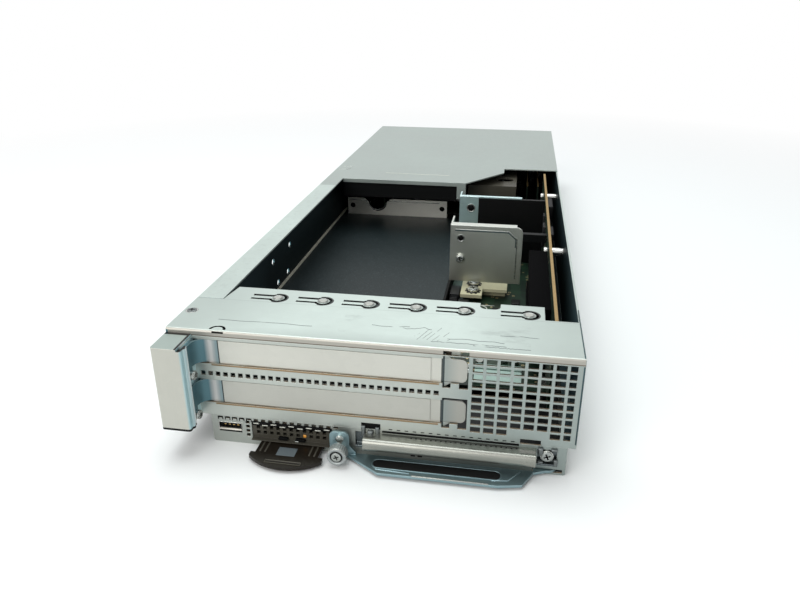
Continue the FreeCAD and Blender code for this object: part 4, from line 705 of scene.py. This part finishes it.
def row(piece, step, count):
    """Repeats a piece in a row, as one mesh."""
    apply_modifier(piece, "ARRAY", count=count, use_relative_offset=False, use_constant_offset=True,
                   constant_offset_displace=Vector(step) * MM)
    return piece


def joined(*pieces):
    """Makes several pieces one mesh."""
    bpy.ops.object.select_all(action="DESELECT")
    for piece in pieces:
        piece.select_set(True)
    bpy.context.view_layer.objects.active = pieces[0]
    bpy.ops.object.join()
    return pieces[0]


def carve(piece, finish, *cutters):
    """Cuts other pieces out of a piece, and leaves a finish in the cuts."""
    for cutter in cutters:
        cutter.data.materials.append(finish.material)
        apply_modifier(piece, "BOOLEAN", operation="DIFFERENCE", object=cutter, material_mode="TRANSFER")
        bpy.data.objects.remove(cutter)
    return piece


def dress(piece, name, finish, slot, body="chassis"):
    """Names a piece, gives it a finish where it has none yet, and lets it ride on a body."""
    piece.name = name
    if not piece.data.materials:
        piece.data.materials.append(finish.material)
    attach(piece, body)
    print(name, len(piece.data.polygons), "faces, on", body)


print("shaping moves ready")

# %% [markdown]
# ## Finishes of the small parts
# Gold on contacts, an amber lens, pale and brown plastics and dull black recesses: the small parts reuse
# the plated and moulded finishes with their own colours. Three finishes recur so often that dressing a
# piece in one of them gets a short name.

# %% Small finishes
recess_black = moulded("recess_black", (0.003, 0.003, 0.0032), 0.6, shine=0.1)
chip_black = moulded("chip_black", (0.010, 0.010, 0.011), 0.5, shine=0.2)
pale_plastic = moulded("pale_plastic", (0.60, 0.62, 0.56), 0.5)
mint_plastic = moulded("mint_plastic", (0.42, 0.56, 0.50), 0.5)
brown_plastic = moulded("brown_plastic", (0.085, 0.065, 0.048), 0.5)
gold_finish = PlatedSteel("gold_contact", (0.62, 0.42, 0.16), "y", 0.9, 0.3)
fastener_finish = PlatedSteel("fastener_plated", (0.35, 0.37, 0.355), "x", 0.9, 0.25, 1.6)
dark_fastener = PlatedSteel("fastener_dark", (0.16, 0.175, 0.175), "y", 0.85, 0.45, 1.8)
dull_fastener = PlatedSteel("fastener_dull", (0.32, 0.345, 0.345), "y", 0.85, 0.5, 1.8)
bright_lip = PlatedSteel("port_lip_plated", (0.80, 0.76, 0.68), "x", 0.6, 0.35)
# Dark blue for lines of painted shadow.
shadow_line = PlatedSteel("edge_shadow_plated", (0.03, 0.06, 0.07), "z", 0.6, 0.45, 1.5)
handle_line_highlight = PlatedSteel("handle_line_highlight_plated", (0.34, 0.46, 0.50), "x", 0.9, 0.25, 1.6)
dress_dark = functools.partial(dress, finish=recess_black, slot="connector_black")
dress_black = functools.partial(dress, finish=chip_black, slot="connector_black")
dress_bright = functools.partial(dress, finish=fastener_finish, slot="bright_steel")
print("small finishes ready")


# %% Amber lens
def amber_lens():
    """A small lens that glows faintly, brighter in its middle."""
    lens = Finish("amber_lens")
    spread = lens.noise(900, 2.0)
    amber = lens.mix(spread, (0.45, 0.17, 0.02), (0.75, 0.36, 0.06))
    lens.set(base_color=amber, roughness=0.2 + spread * 0.1, emission_color=amber, emission_strength=0.25)
    return lens


lamp_finish = amber_lens()
print("lens ready")

# %% [markdown]
# ## Screw heads
# Every screw that shows has a cross recess. A cap on the plain head is a disc whose top is raised by an
# inset, with two blades cut out of it. The blades carry the dark finish, which the cut keeps.

# %% Screw caps
CROSS_TURN = 0.4
SOCKET_SCREWS = ((125.9, 170.8), (125.9, 182.8))


def screw_cap(centre, axis, radius, height, recess=1.25, finish=fastener_finish):
    """A slightly domed head with a cross recess."""
    cap = press(disc(centre, radius, height, axis), axis, (radius * 0.25, height * 0.3))
    soften(cap, height * 0.25)
    cap.data.materials.append(finish.material)
    top = Vector(centre) + AXES[axis] * height * 1.3
    size = (radius * recess, radius * recess * 0.22, height * 1.5)
    turns = (CROSS_TURN, CROSS_TURN + math.pi / 2)
    return carve(cap, recess_black, *[blade(top, axis, turn, size) for turn in turns])


dress_bright(screw_cap((3.9, 19.0, TOP), "z", 2.3, 0.25, finish=dark_fastener), "plate_screw_cap")
cover_caps = [screw_cap((14.6, -6.8, rise), "x", 2.0, 0.5) for rise in (38.64, 18.32)]
dress_bright(joined(*cover_caps), "cover_screw_caps")
dress_bright(screw_cap((115.9, 178.2, 31.8), "-y", 2.5, 0.6), "bracket_screw_cap")
socket_caps = [screw_cap((*place, 14.4), "z", 3.2, 0.5) for place in SOCKET_SCREWS]
dress_bright(joined(*socket_caps), "socket_screw_caps")
dress_bright(screw_cap((170.45, -0.8, 9.8), "-y", 2.5, 0.5), "bar_screw_cap")

# %% [markdown]
# ## Toothed washers and the knurled screw
# The big screws on the beige socket stand on toothed washers, and the handle's screw is knurled for the
# fingers. Both start as a many-sided disc, of which every other side face is extruded outwards. The knurl
# comes below, with the rest of its screw. The rivet over it is a disc with its edge rounded into a dome.


# %% Toothed rounds
def toothed(centre, axis, radius, height, teeth, reach):
    """A disc with square teeth round its rim."""
    ring = disc(centre, radius, height, axis, 2 * teeth)
    middle, out = spot(*centre), AXES[axis]
    sideways = AXES["x"]

    def every_other(face):
        arm = face.center - middle
        arm -= out * arm.dot(out)
        angle = math.atan2(arm.dot(out.cross(sideways)), arm.dot(sideways)) % math.tau
        return abs(face.normal.dot(out)) < 0.1 and int(angle / math.tau * 2 * teeth) % 2 == 0

    with shaping(ring, every_other):
        bpy.ops.mesh.extrude_faces_move(TRANSFORM_OT_shrink_fatten={"value": reach * MM})
    return ring


washers = [toothed((*place, 12.6), "z", 4.2, 0.4, 10, 1.0) for place in SOCKET_SCREWS]
dress_black(joined(*washers), "socket_washers")
dress_bright(soften(disc((79.0, -4.8, 10.8), 1.7, 0.6, "-y"), 0.27, 4), "rivet_dome", body="handle")

# %% [markdown]
# ## Pressed rims and beads
# Sheet metal is stiffened by pressed lines. A bead is a flat block whose end face is extruded from point
# to point. At a corner the end face turns by half before the move and by half after it, so the bead keeps
# its width and stays one closed skin. A dimple's rim is a low disc with its middle pressed down.


# %% Beads and rims
def bead(points, width, height, axis="z"):
    """A raised line through points on a surface that faces along an axis."""
    places = [spot(*point) for point in points]
    out = AXES[axis]
    ahead = places[1] - places[0]
    turn = Matrix((ahead.normalized(), out.cross(ahead).normalized(), out)).transposed()
    bpy.ops.object.select_all(action="DESELECT")
    bpy.ops.mesh.primitive_cube_add(size=1, location=(places[0] + places[1]) / 2, rotation=turn.to_euler(),
                                    scale=(ahead.length, width * MM, 2 * height * MM))
    piece = settled()
    about = axis[-1]
    with shaping(piece, lambda face: (face.center - places[1]).length < 0.01 * MM):
        for before, here, after in zip(places, places[1:], places[2:]):
            first, second = here - before, after - here
            half_turn = math.atan2(AXES[about].dot(first.cross(second)), first.dot(second)) / 2
            turn_end = functools.partial(
                bpy.ops.transform.rotate, value=-half_turn, orient_axis=about.upper())
            turn_end(center_override=here)
            bpy.ops.mesh.extrude_region_move(TRANSFORM_OT_translate={"value": second})
            turn_end(center_override=after)
    return soften(piece, height * 0.6)


def front_bead(setback, corners, width, height):
    """A bead on an upright sheet that faces the front, through places given across and up."""
    return bead([(start, setback, rise) for start, rise in corners], width, height, "-y")


def pressed_rim(centre, axis, radius, width, height):
    """A low round rim whose middle is pressed back to the sheet."""
    rim = disc(centre, radius, height, axis)
    return soften(press(rim, axis, (width * 0.5, 0.0), (width * 0.5, -height * 1.1)), height * 0.2)


dimples = [pressed_rim((head, FINGER_SETBACK, TOP), "z", 2.75, 0.9, 0.3) for head in FINGERS]
dress(joined(*dimples), "dimple_rims", fastener_finish, "galvanised")

# %% Thumbscrew
THUMB_FACE = (79.0, -11.5, 6.0)
knurl = soften(toothed((79.0, -7.2, 6.0), "-y", 4.32, 3.9, 26, 0.14), 0.03, 1)
dress(knurl, "thumbscrew_knurl", dull_fastener, "bright_steel", "thumbscrew")
thumb_ring = pressed_rim(THUMB_FACE, "-y", 4.2, 1.5, 0.45)
thumb_ring.data.materials.append(dull_fastener.material)
thumb_cap = joined(screw_cap(THUMB_FACE, "-y", 2.3, 0.4, 1.1), thumb_ring)
dress_bright(thumb_cap, "thumbscrew_cap", body="thumbscrew")

# %% Relief of the brackets and the rear cover
BRACKET_FACE = 180.0
BRACKET_HOLES = (((115.9, BRACKET_FACE, 45.8), 2.6, 1.75), ((117.5, 247.0, 47.0), 3.2, 2.3))
bracket_bead = front_bead(
    BRACKET_FACE, [(112.0, 51.6), (147.0, 51.6), (152.4, 46.8), (152.4, 19.0)], 0.7, 0.2)
dress(bracket_bead, "bracket_bead", fastener_finish, "bracket_steel")
# The dark groove beside the bead: a painted shadow line.
bracket_groove = front_bead(
    BRACKET_FACE, [(112.0, 50.9), (146.7, 50.9), (151.6, 46.5), (151.6, 41.0)], 0.6, 0.06)
dress(bracket_groove, "bracket_groove", shadow_line, "bracket_steel")
hole_rims = [pressed_rim(centre, "-y", rim, 0.9, 0.35) for centre, rim, bore in BRACKET_HOLES]
dress(joined(*hole_rims), "bracket_hole_rims", fastener_finish, "bracket_steel")
# Dark discs over the bracket's holes: painted shade inside them.
bore_shades = [disc(Vector(centre) + AXES["-y"] * 0.1, bore, 0.12, "-y") for centre, rim, bore in BRACKET_HOLES]
dress_dark(soften(joined(*bore_shades), 0.03), "bracket_bore_shades")
cover_crease = bead([(43.5, 299.4, TOP), (96.0, 297.9, TOP)], 0.9, 0.15)
dress(cover_crease, "cover_crease", pale_plastic, "galvanised")
corner_marks = joined(bead([(1.2, 306.0, TOP), (8.6, 306.0, TOP), (11.5, 309.5, TOP)], 0.7, 0.15),
                      bead([(1.2, 317.0, TOP), (12.0, 317.0, TOP)], 0.7, 0.15))
dress(corner_marks, "cover_corner_marks", fastener_finish, "galvanised")

# %% [markdown]
# ## Spring gasket, lamp and port
# Over the status panel sits a row of small spring fingers that earth the front to the chassis. One finger
# is a block whose face is inset and pushed out, and the row is an array of it. An amber lamp shows in one
# of the panel's holes, and the port has four gold contacts over a bright lip.


# %% Gasket
def spring_fingers(start, rise, count):
    """A row of pillow-shaped spring fingers."""
    finger = press(block((start, -0.5, rise), (start + 2.9, -0.05, rise + 0.6)), "-y", (0.2, 0.2))
    return row(soften(finger, 0.08), (8.4, 0, 0), count)


dress_dark(soften(block((36.3, -0.15, 10.6), (74.1, 0.45, 12.62)), 0.1), "gasket_bed")
gasket = joined(spring_fingers(36.9, 11.55, 5), spring_fingers(41.1, 10.8, 4))
dress(gasket, "gasket_fingers", bar_finish, "bright_steel")

# %% Lamp, clip and port
status_lens = soften(block((60.4, 0.1, 6.1), (61.9, 1.4, 7.6)), 0.4, 3)
dress(status_lens, "status_lens", lamp_finish, "status_plastic")
dress_bright(soften(block((56.6, -1.0, 3.95), (58.6, -0.2, 4.5)), 0.15), "status_clip")
contact = soften(block((21.9, 1.35, 8.5), (22.9, 6.0, 8.9)), 0.1)
dress(row(contact, (2.1, 0, 0), 4), "port_contacts", gold_finish, "bright_steel")
port_lip = soften(block((20.2, -0.15, 6.6), (30.8, 0.9, 7.45)), 0.2)
dress(port_lip, "port_lip", bright_lip, "bright_steel")
dress_dark(soften(block((19.9, -0.05, 5.75), (31.1, 0.3, 6.45)), 0.1), "port_shade")

# %% [markdown]
# ## Label tab
# The slide-out tab has ribs along its sides, a bare sticker with a thin rim and a finger recess in its
# bow. What lies close to the panel stays very low, because the tab slides in through a slot.

# %% Tab pieces
TAB_TOP = 3.1
RIB_STARTS = (42.6, 45.0, 65.6, 68.0)
ribs = [bead([(start, -9.0, TAB_TOP), (start, 8.0, TAB_TOP)], 0.8, 0.16) for start in RIB_STARTS]
dress(joined(*ribs), "tab_ribs", status_finish, "tab_plastic", "tab")
sticker = block((50.6, -10.6, TAB_TOP - 0.1), (59.2, -4.6, TAB_TOP + 0.14))
press(sticker, "z", (0.6, -0.05))
sticker_finish = moulded("sticker_bare", (0.125, 0.15, 0.165), 0.4)
dress(soften(sticker, 0.04), "tab_sticker", sticker_finish, "tab_plastic", "tab")
bow_recess = block((47.0, -16.6, TAB_TOP - 0.2), (63.8, -14.4, TAB_TOP + 0.3))
press(bow_recess, "z", (0.35, 0.0), (0.15, -0.45))
dress(soften(bow_recess, 0.08), "tab_finger_recess", status_finish, "tab_plastic", "tab")

# %% [markdown]
# ## Adapter bar and its clasps
# The pale bar has a row of pin holes on top, two dark marks under its nose and sprung clasps at its ends.
# Pins and marks are small rounds and blocks in rows; a clasp is a few folded strips over a dark opening.

# %% Bar pieces
pin = soften(disc((111.0, -1.9, 12.95), 0.42, 0.12, "z", 10), 0.05, 1)
dress_dark(row(pin, (2.2, 0, 0), 22), "bar_pin_holes")
mark = soften(block((111.5, -6.75, 7.0), (113.5, -6.0, 7.9)), 0.1)
dress_dark(row(mark, (3.1, 0, 0), 2), "bar_marks")
dress_dark(soften(block((88.0, -0.12, 14.8), (96.8, 0.3, 17.7)), 0.15), "clasp_opening")


# %% Clasps
def strip(low, high, reach):
    """A folded strip: a block with its front pushed out into a rounded ridge."""
    return soften(press(block(low, high), "-y", (0.3, reach)), 0.15)


# The shiny spring clasps take the dark fastener finish: painted shade.
left_clasp = joined(strip((88.2, -1.0, 11.2), (90.0, -0.1, 16.6), 0.4),
                    strip((91.0, -1.4, 11.6), (93.6, -0.1, 14.4), 0.5),
                    strip((94.6, -0.9, 11.2), (96.4, -0.1, 16.2), 0.4),
                    disc((92.3, -1.9, 13.0), 0.9, 0.5, "-y"))
dress(left_clasp, "left_clasp", dark_fastener, "bright_steel")
right_clasp = joined(strip((166.4, -1.3, 10.6), (168.6, -0.2, 13.9), 0.5),
                     strip((173.4, -1.2, 5.0), (175.2, -0.2, 8.4), 0.5),
                     strip((166.6, -0.9, 4.9), (169.0, -0.2, 7.0), 0.4),
                     strip((172.0, -1.0, 12.6), (174.8, -0.2, 13.7), 0.3))
dress(right_clasp, "right_clasp", dark_fastener, "bright_steel")

# %% [markdown]
# ## Release handle
# The handle's front edge is hemmed and bright, pressed lines follow its corner, and a rim frames the bare
# black strip. They ride on the handle, so they swing with it.

# %% Handle pieces
HANDLE_TOP = 2.5


def oblong_rim(low, high, width, drop):
    """A frame with rounded corners: upright edges are bevelled and the top is pressed in."""
    piece = block(low, high)

    def upright(edge):
        ends = [piece.data.vertices[index].co for index in edge.vertices]
        return abs(ends[0].z - ends[1].z) > 0.01 * MM

    with shaping(piece, upright, "EDGE"):
        bpy.ops.mesh.bevel(offset=(high[1] - low[1]) * 0.45 * MM, segments=6, affect="EDGES")
    return soften(press(piece, "z", (width, 0.0), (0.1, -drop)), 0.06)


def handle_bead(corners, width, height):
    """A bead on top of the handle, through places given across and back."""
    return bead([(start, setback, HANDLE_TOP) for start, setback in corners], width, height)


hem = handle_bead([(113.0, -14.6), (146.4, -14.6)], 0.8, 0.35)
dress(hem, "handle_hem", fastener_finish, "zinc_handle", "handle")
# The pressed lines are lighter than the handle: a painted highlight.
lines = joined(handle_bead([(160.0, -3.4), (154.2, -10.9), (147.3, -11.9)], 0.6, 0.2),
               handle_bead([(96.5, -12.3), (112.0, -13.2)], 0.5, 0.2))
dress(lines, "handle_lines", handle_line_highlight, "zinc_handle", "handle")
strip_rim = oblong_rim((94.3, -11.7, 2.3), (151.7, -5.1, 2.8), 0.45, 0.4)
dress(strip_rim, "handle_strip_rim", handle_finish, "zinc_handle", "handle")

# %% [markdown]
# ## Behind the window and on the boards
# Through the notch over the upper tongue one sees the ends of small parts, and the boards carry chips,
# cans and sockets. Each kind is modelled once: a chip is a block with a raised lid, a can is a disc with
# a rolled top, and a row of ribs is an array.

# %% Board parts
BOARD = 6.0
CAN_HEIGHT = 2.4
CHIPS = [(117.0, 124.0, 149.0, 162.5, 3.6), (139.0, 151.0, 118.0, 131.0, 1.4),
         (118.0, 126.0, 98.0, 107.0, 1.2), (139.5, 147.0, 150.0, 158.0, 1.2),
         (151.5, 157.0, 166.0, 173.0, 1.3), (110.8, 117.2, 164.5, 179.4, 6.0)]
PALE_SOCKETS = [(62.6, 68.4), (69.4, 74.4), (76.0, 80.6)]
CANS = [(149.0, 88.5, 2.6), (155.0, 87.0, 2.6), (136.0, 84.0, 2.2), (131.0, 77.0, 2.2), (130.5, 71.0, 2.2),
        (153.0, 112.0, 2.2)]


def chip(low, high, lid=0.3):
    """A package with a lid: its top is inset and raised a little."""
    return soften(press(block(low, high), "z", (0.5, lid)), 0.12)


def on_board(left, right, near, far, height, lid=0.3):
    """A package on the flat board."""
    return chip((left, near, BOARD), (right, far, BOARD + height), lid)


def can(start, setback, radius):
    """A metal can with a rolled top edge."""
    piece = disc((start, setback, BOARD), radius, CAN_HEIGHT, "z", 20)
    return soften(press(piece, "z", (radius * 0.2, -0.3)), 0.15)


dress(chip((127.2, 4.0, 52.4), (131.0, 9.0, 56.6)), "window_white_block", pale_plastic, "connector_beige")
dress(chip((123.6, 4.0, 51.5), (126.8, 9.0, 56.6)), "window_brown_block", brown_plastic, "connector_black")
dress_black(joined(*[on_board(*place) for place in CHIPS]), "board_chips")
pale_sockets = joined(*[on_board(134.0, 159.0, near, far, 2.0) for near, far in PALE_SOCKETS])
dress(pale_sockets, "board_pale_sockets", mint_plastic, "connector_beige")
dress_bright(joined(*[can(*place) for place in CANS]), "board_cans")
printed_square = oblong_rim((127.4, 151.0, 5.9), (136.4, 163.0, 6.12), 0.5, 0.2)
dress(printed_square, "board_printed_square", pale_plastic, "connector_beige")

# %% Ribbed socket and upright board
dress_black(on_board(160.9, 165.2, 163.0, 197.0, 3.6, 0.2), "ribbed_socket")
rib = soften(block((160.8, 163.8, 9.4), (165.3, 164.7, 11.0)), 0.15)
dress(row(rib, (0, 2.2, 0), 15), "ribbed_socket_ribs", brown_plastic, "connector_black")
side_parts = joined(chip((172.7, 196.0, 22.0), (176.6, 214.0, 46.0)),
                    chip((172.7, 222.0, 30.0), (175.4, 236.0, 44.0)),
                    chip((172.7, 252.0, 26.0), (177.4, 276.0, 49.0)),
                    chip((169.4, 205.0, 34.0), (171.3, 216.0, 48.0)),
                    chip((169.8, 225.0, 40.0), (171.3, 232.0, 50.0)),
                    chip((172.7, 110.0, 20.0), (175.0, 150.0, 34.0)))
dress_black(side_parts, "side_board_parts")

# %% [markdown]
# ## Contacts at the rear
# The two rear sockets meet the chassis with contacts: a tongue with gold strips on the signal side, and
# broad blades on the power side. Both are rows of one rounded block.

# %% Rear contacts
dress_black(soften(block((48.0, 496.0, 14.6), (82.5, 509.0, 17.4)), 0.5), "signal_tongue")
strips = joined(*[row(soften(block((49.0, 498.0, rise), (50.0, 508.0, rise + 0.3)), 0.1), (2.1, 0, 0), 16)
                  for rise in (14.4, 17.3)])
dress(strips, "signal_contacts", gold_finish, "bright_steel")
power_blade = soften(block((114.0, 496.0, 10.5), (115.0, 509.0, 21.5)), 0.3)
dress(row(power_blade, (3.9, 0, 0), 6), "power_blades", gold_finish, "bright_steel")

# %% [markdown]
# ## Vents, ledges and the bay bracket's fold
# The vents under the tray are small arches with bent lips, the slot windows have raw ledges, and a fold
# follows the notch in the far bracket. All are beads, in their own finishes.

# %% Vents and ledges
VENT_STEP = (3.45, 0, 0)
arch = front_bead(0.0, [(19.9, 12.1), (19.9, 13.6), (22.1, 13.6), (22.1, 12.1)], 0.5, 0.06)
dress_dark(row(arch, VENT_STEP, 5), "vent_arches_left")
lips = front_bead(0.0, [(37.2, 12.85), (39.3, 12.85)], 0.35, 0.06)
dress_dark(row(lips, VENT_STEP, 11), "vent_lips")
ledges = [front_bead(-0.05, [(19.8, rise), (122.6, rise)], 0.7, 0.2) for rise in (40.9, 20.6)]
ledge_finish = PlatedSteel("raw_ledge", RAW_EDGE, "x", 0.6, 0.4, 1.8)
dress(joined(*ledges), "window_ledges", ledge_finish, "face_steel")
fold = front_bead(319.0, [(7.0, 28.4), (22.0, 28.4), (25.0, 24.0), (29.0, 20.6), (34.5, 20.6), (38.5, 24.0),
                          (41.0, 28.4), (86.0, 28.4)], 0.7, 0.25)
dress(fold, "bay_bracket_fold", fastener_finish, "bracket_steel")

# %% [markdown]
# ## Where sheets meet
# Small things make the front read as folded sheet: the tongues of the slot covers widen towards their
# bend, the lug on the plate's lip stands over a dark slit, a painted shadow of a gap and a row of dashes
# run along the back of the bar, and a painted shadow line follows the right edge. A flare is a block
# whose one end is scaled to an edge.
# The last piece is a comb on the board, which shows beside the front bracket.


# %% Flares, slit, gap and outline
def flare(foot, head, point):
    """A flat wedge: a block whose right end shrinks towards a height."""
    piece = block((124.1, 1.1, foot), (127.7, 1.7, head))
    with shaping(piece, looking("x")):
        bpy.ops.transform.resize(value=(1, 1, 0.04), center_override=spot(127.7, 1.4, point))
    return soften(piece, 0.04)


flares = joined(flare(52.6, 55.7, 52.7), flare(38.9, 41.6, 41.5), flare(18.6, 21.3, 21.2))
dress(flares, "tongue_flares", cover_finish, "cover_steel")
dress_dark(front_bead(0.0, [(21.6, 57.25), (26.9, 57.25)], 0.9, 0.06), "lug_slit")
# A dark strip along the back of the bar: painted shadow in the gap.
dress_dark(soften(block((97.6, -0.1, 13.3), (158.2, 0.4, 14.4)), 0.05), "bar_gap_shadow")
dash = front_bead(0.0, [(100.6, 15.3), (102.2, 15.3)], 0.45, 0.05)
dress_dark(row(dash, (3.6, 0, 0), 16), "face_dashes")
# The dark line along the right edge: a painted shadow line.
outline = joined(bead([(181.9, 1.0, TOP), (181.9, 48.8, TOP)], 0.5, 0.12),
                 front_bead(0.0, [(181.9, 16.5), (181.9, 54.6)], 0.6, 0.06))
dress(outline, "right_outline", shadow_line, "face_steel")

# %% Comb on the board
comb = soften(block((111.3, 153.2, 5.9), (116.2, 154.4, 11.0)), 0.15)
dress_black(row(comb, (0, 2.6, 0), 5), "board_comb")

# %% [markdown]
# ## Floor and light
# The photograph is lit softly from above and from the front, with the object on white. Two wide lamps do
# that. The world is white to the camera and to reflections and dimmer as a light, so that colours render
# about as they are written. Far from the object the floor is white to the camera too, and near it the
# floor keeps the object's shadow.

# %% Floor
FLOOR_SIDE = 12.0
SHADOW_REACH = 0.35
WHITE_FROM = 0.8
bpy.ops.object.select_all(action="DESELECT")
bpy.ops.mesh.primitive_plane_add(size=FLOOR_SIDE)
floor = bpy.context.object
floor.name = "floor"
floor_finish = Finish("pale_floor")
floor_finish.set(base_color=(0.93, 0.93, 0.93), roughness=0.8)
away = floor_finish.node("ShaderNodeVectorMath", {"operation": "LENGTH"},
                         {0: floor_finish.place()}, "Value")
white = floor_finish.node("ShaderNodeEmission", None, {"Color": (1, 1, 1)})
shown = floor_finish.node("ShaderNodeMixShader", None, {
    0: floor_finish.seen() * floor_finish.ramp(away, SHADOW_REACH, WHITE_FROM),
    1: Shade(floor_finish, floor_finish.surface.outputs[0]), 2: white})
floor_finish.feed(floor_finish.tree.nodes["Material Output"].inputs["Surface"], shown)
floor.data.materials.append(floor_finish.material)
print("floor", FLOOR_SIDE, "m wide")

# %% Lamps and world
LAMP_AIM = Vector((0, -0.1, 0.03))


def lamp(name, place, side, power, colour):
    """A square soft lamp that points at the front of the object."""
    bpy.ops.object.light_add(type="AREA", location=place)
    light = bpy.context.object
    light.name = name
    light.rotation_euler = (LAMP_AIM - Vector(place)).to_track_quat("-Z", "Y").to_euler()
    light.data.size = side
    light.data.energy = power
    light.data.color = colour


lamp("lamp_top", (-0.2, 0.1, 1.5), 1.2, 17, (0.95, 1.0, 1.0))
lamp("lamp_front", (-0.5, -1.3, 0.7), 0.9, 8.3, (1.0, 0.985, 0.95))
world = bpy.data.worlds.new("studio")
bpy.context.scene.world = world
world.use_nodes = True
sky = Graph(world.node_tree)
soft = sky.node("ShaderNodeBackground", None, {"Color": (0.94, 0.98, 1.0), "Strength": 0.42})
clear = sky.node("ShaderNodeBackground", None, {"Color": (1, 1, 1), "Strength": 1.0})
sky.feed(sky.tree.nodes["World Output"].inputs["Surface"],
         sky.node("ShaderNodeMixShader", None, {0: sky.seen(), 1: soft, 2: clear}))
bpy.context.scene.view_settings.view_transform = "Standard"
print("lit by two lamps and the world")
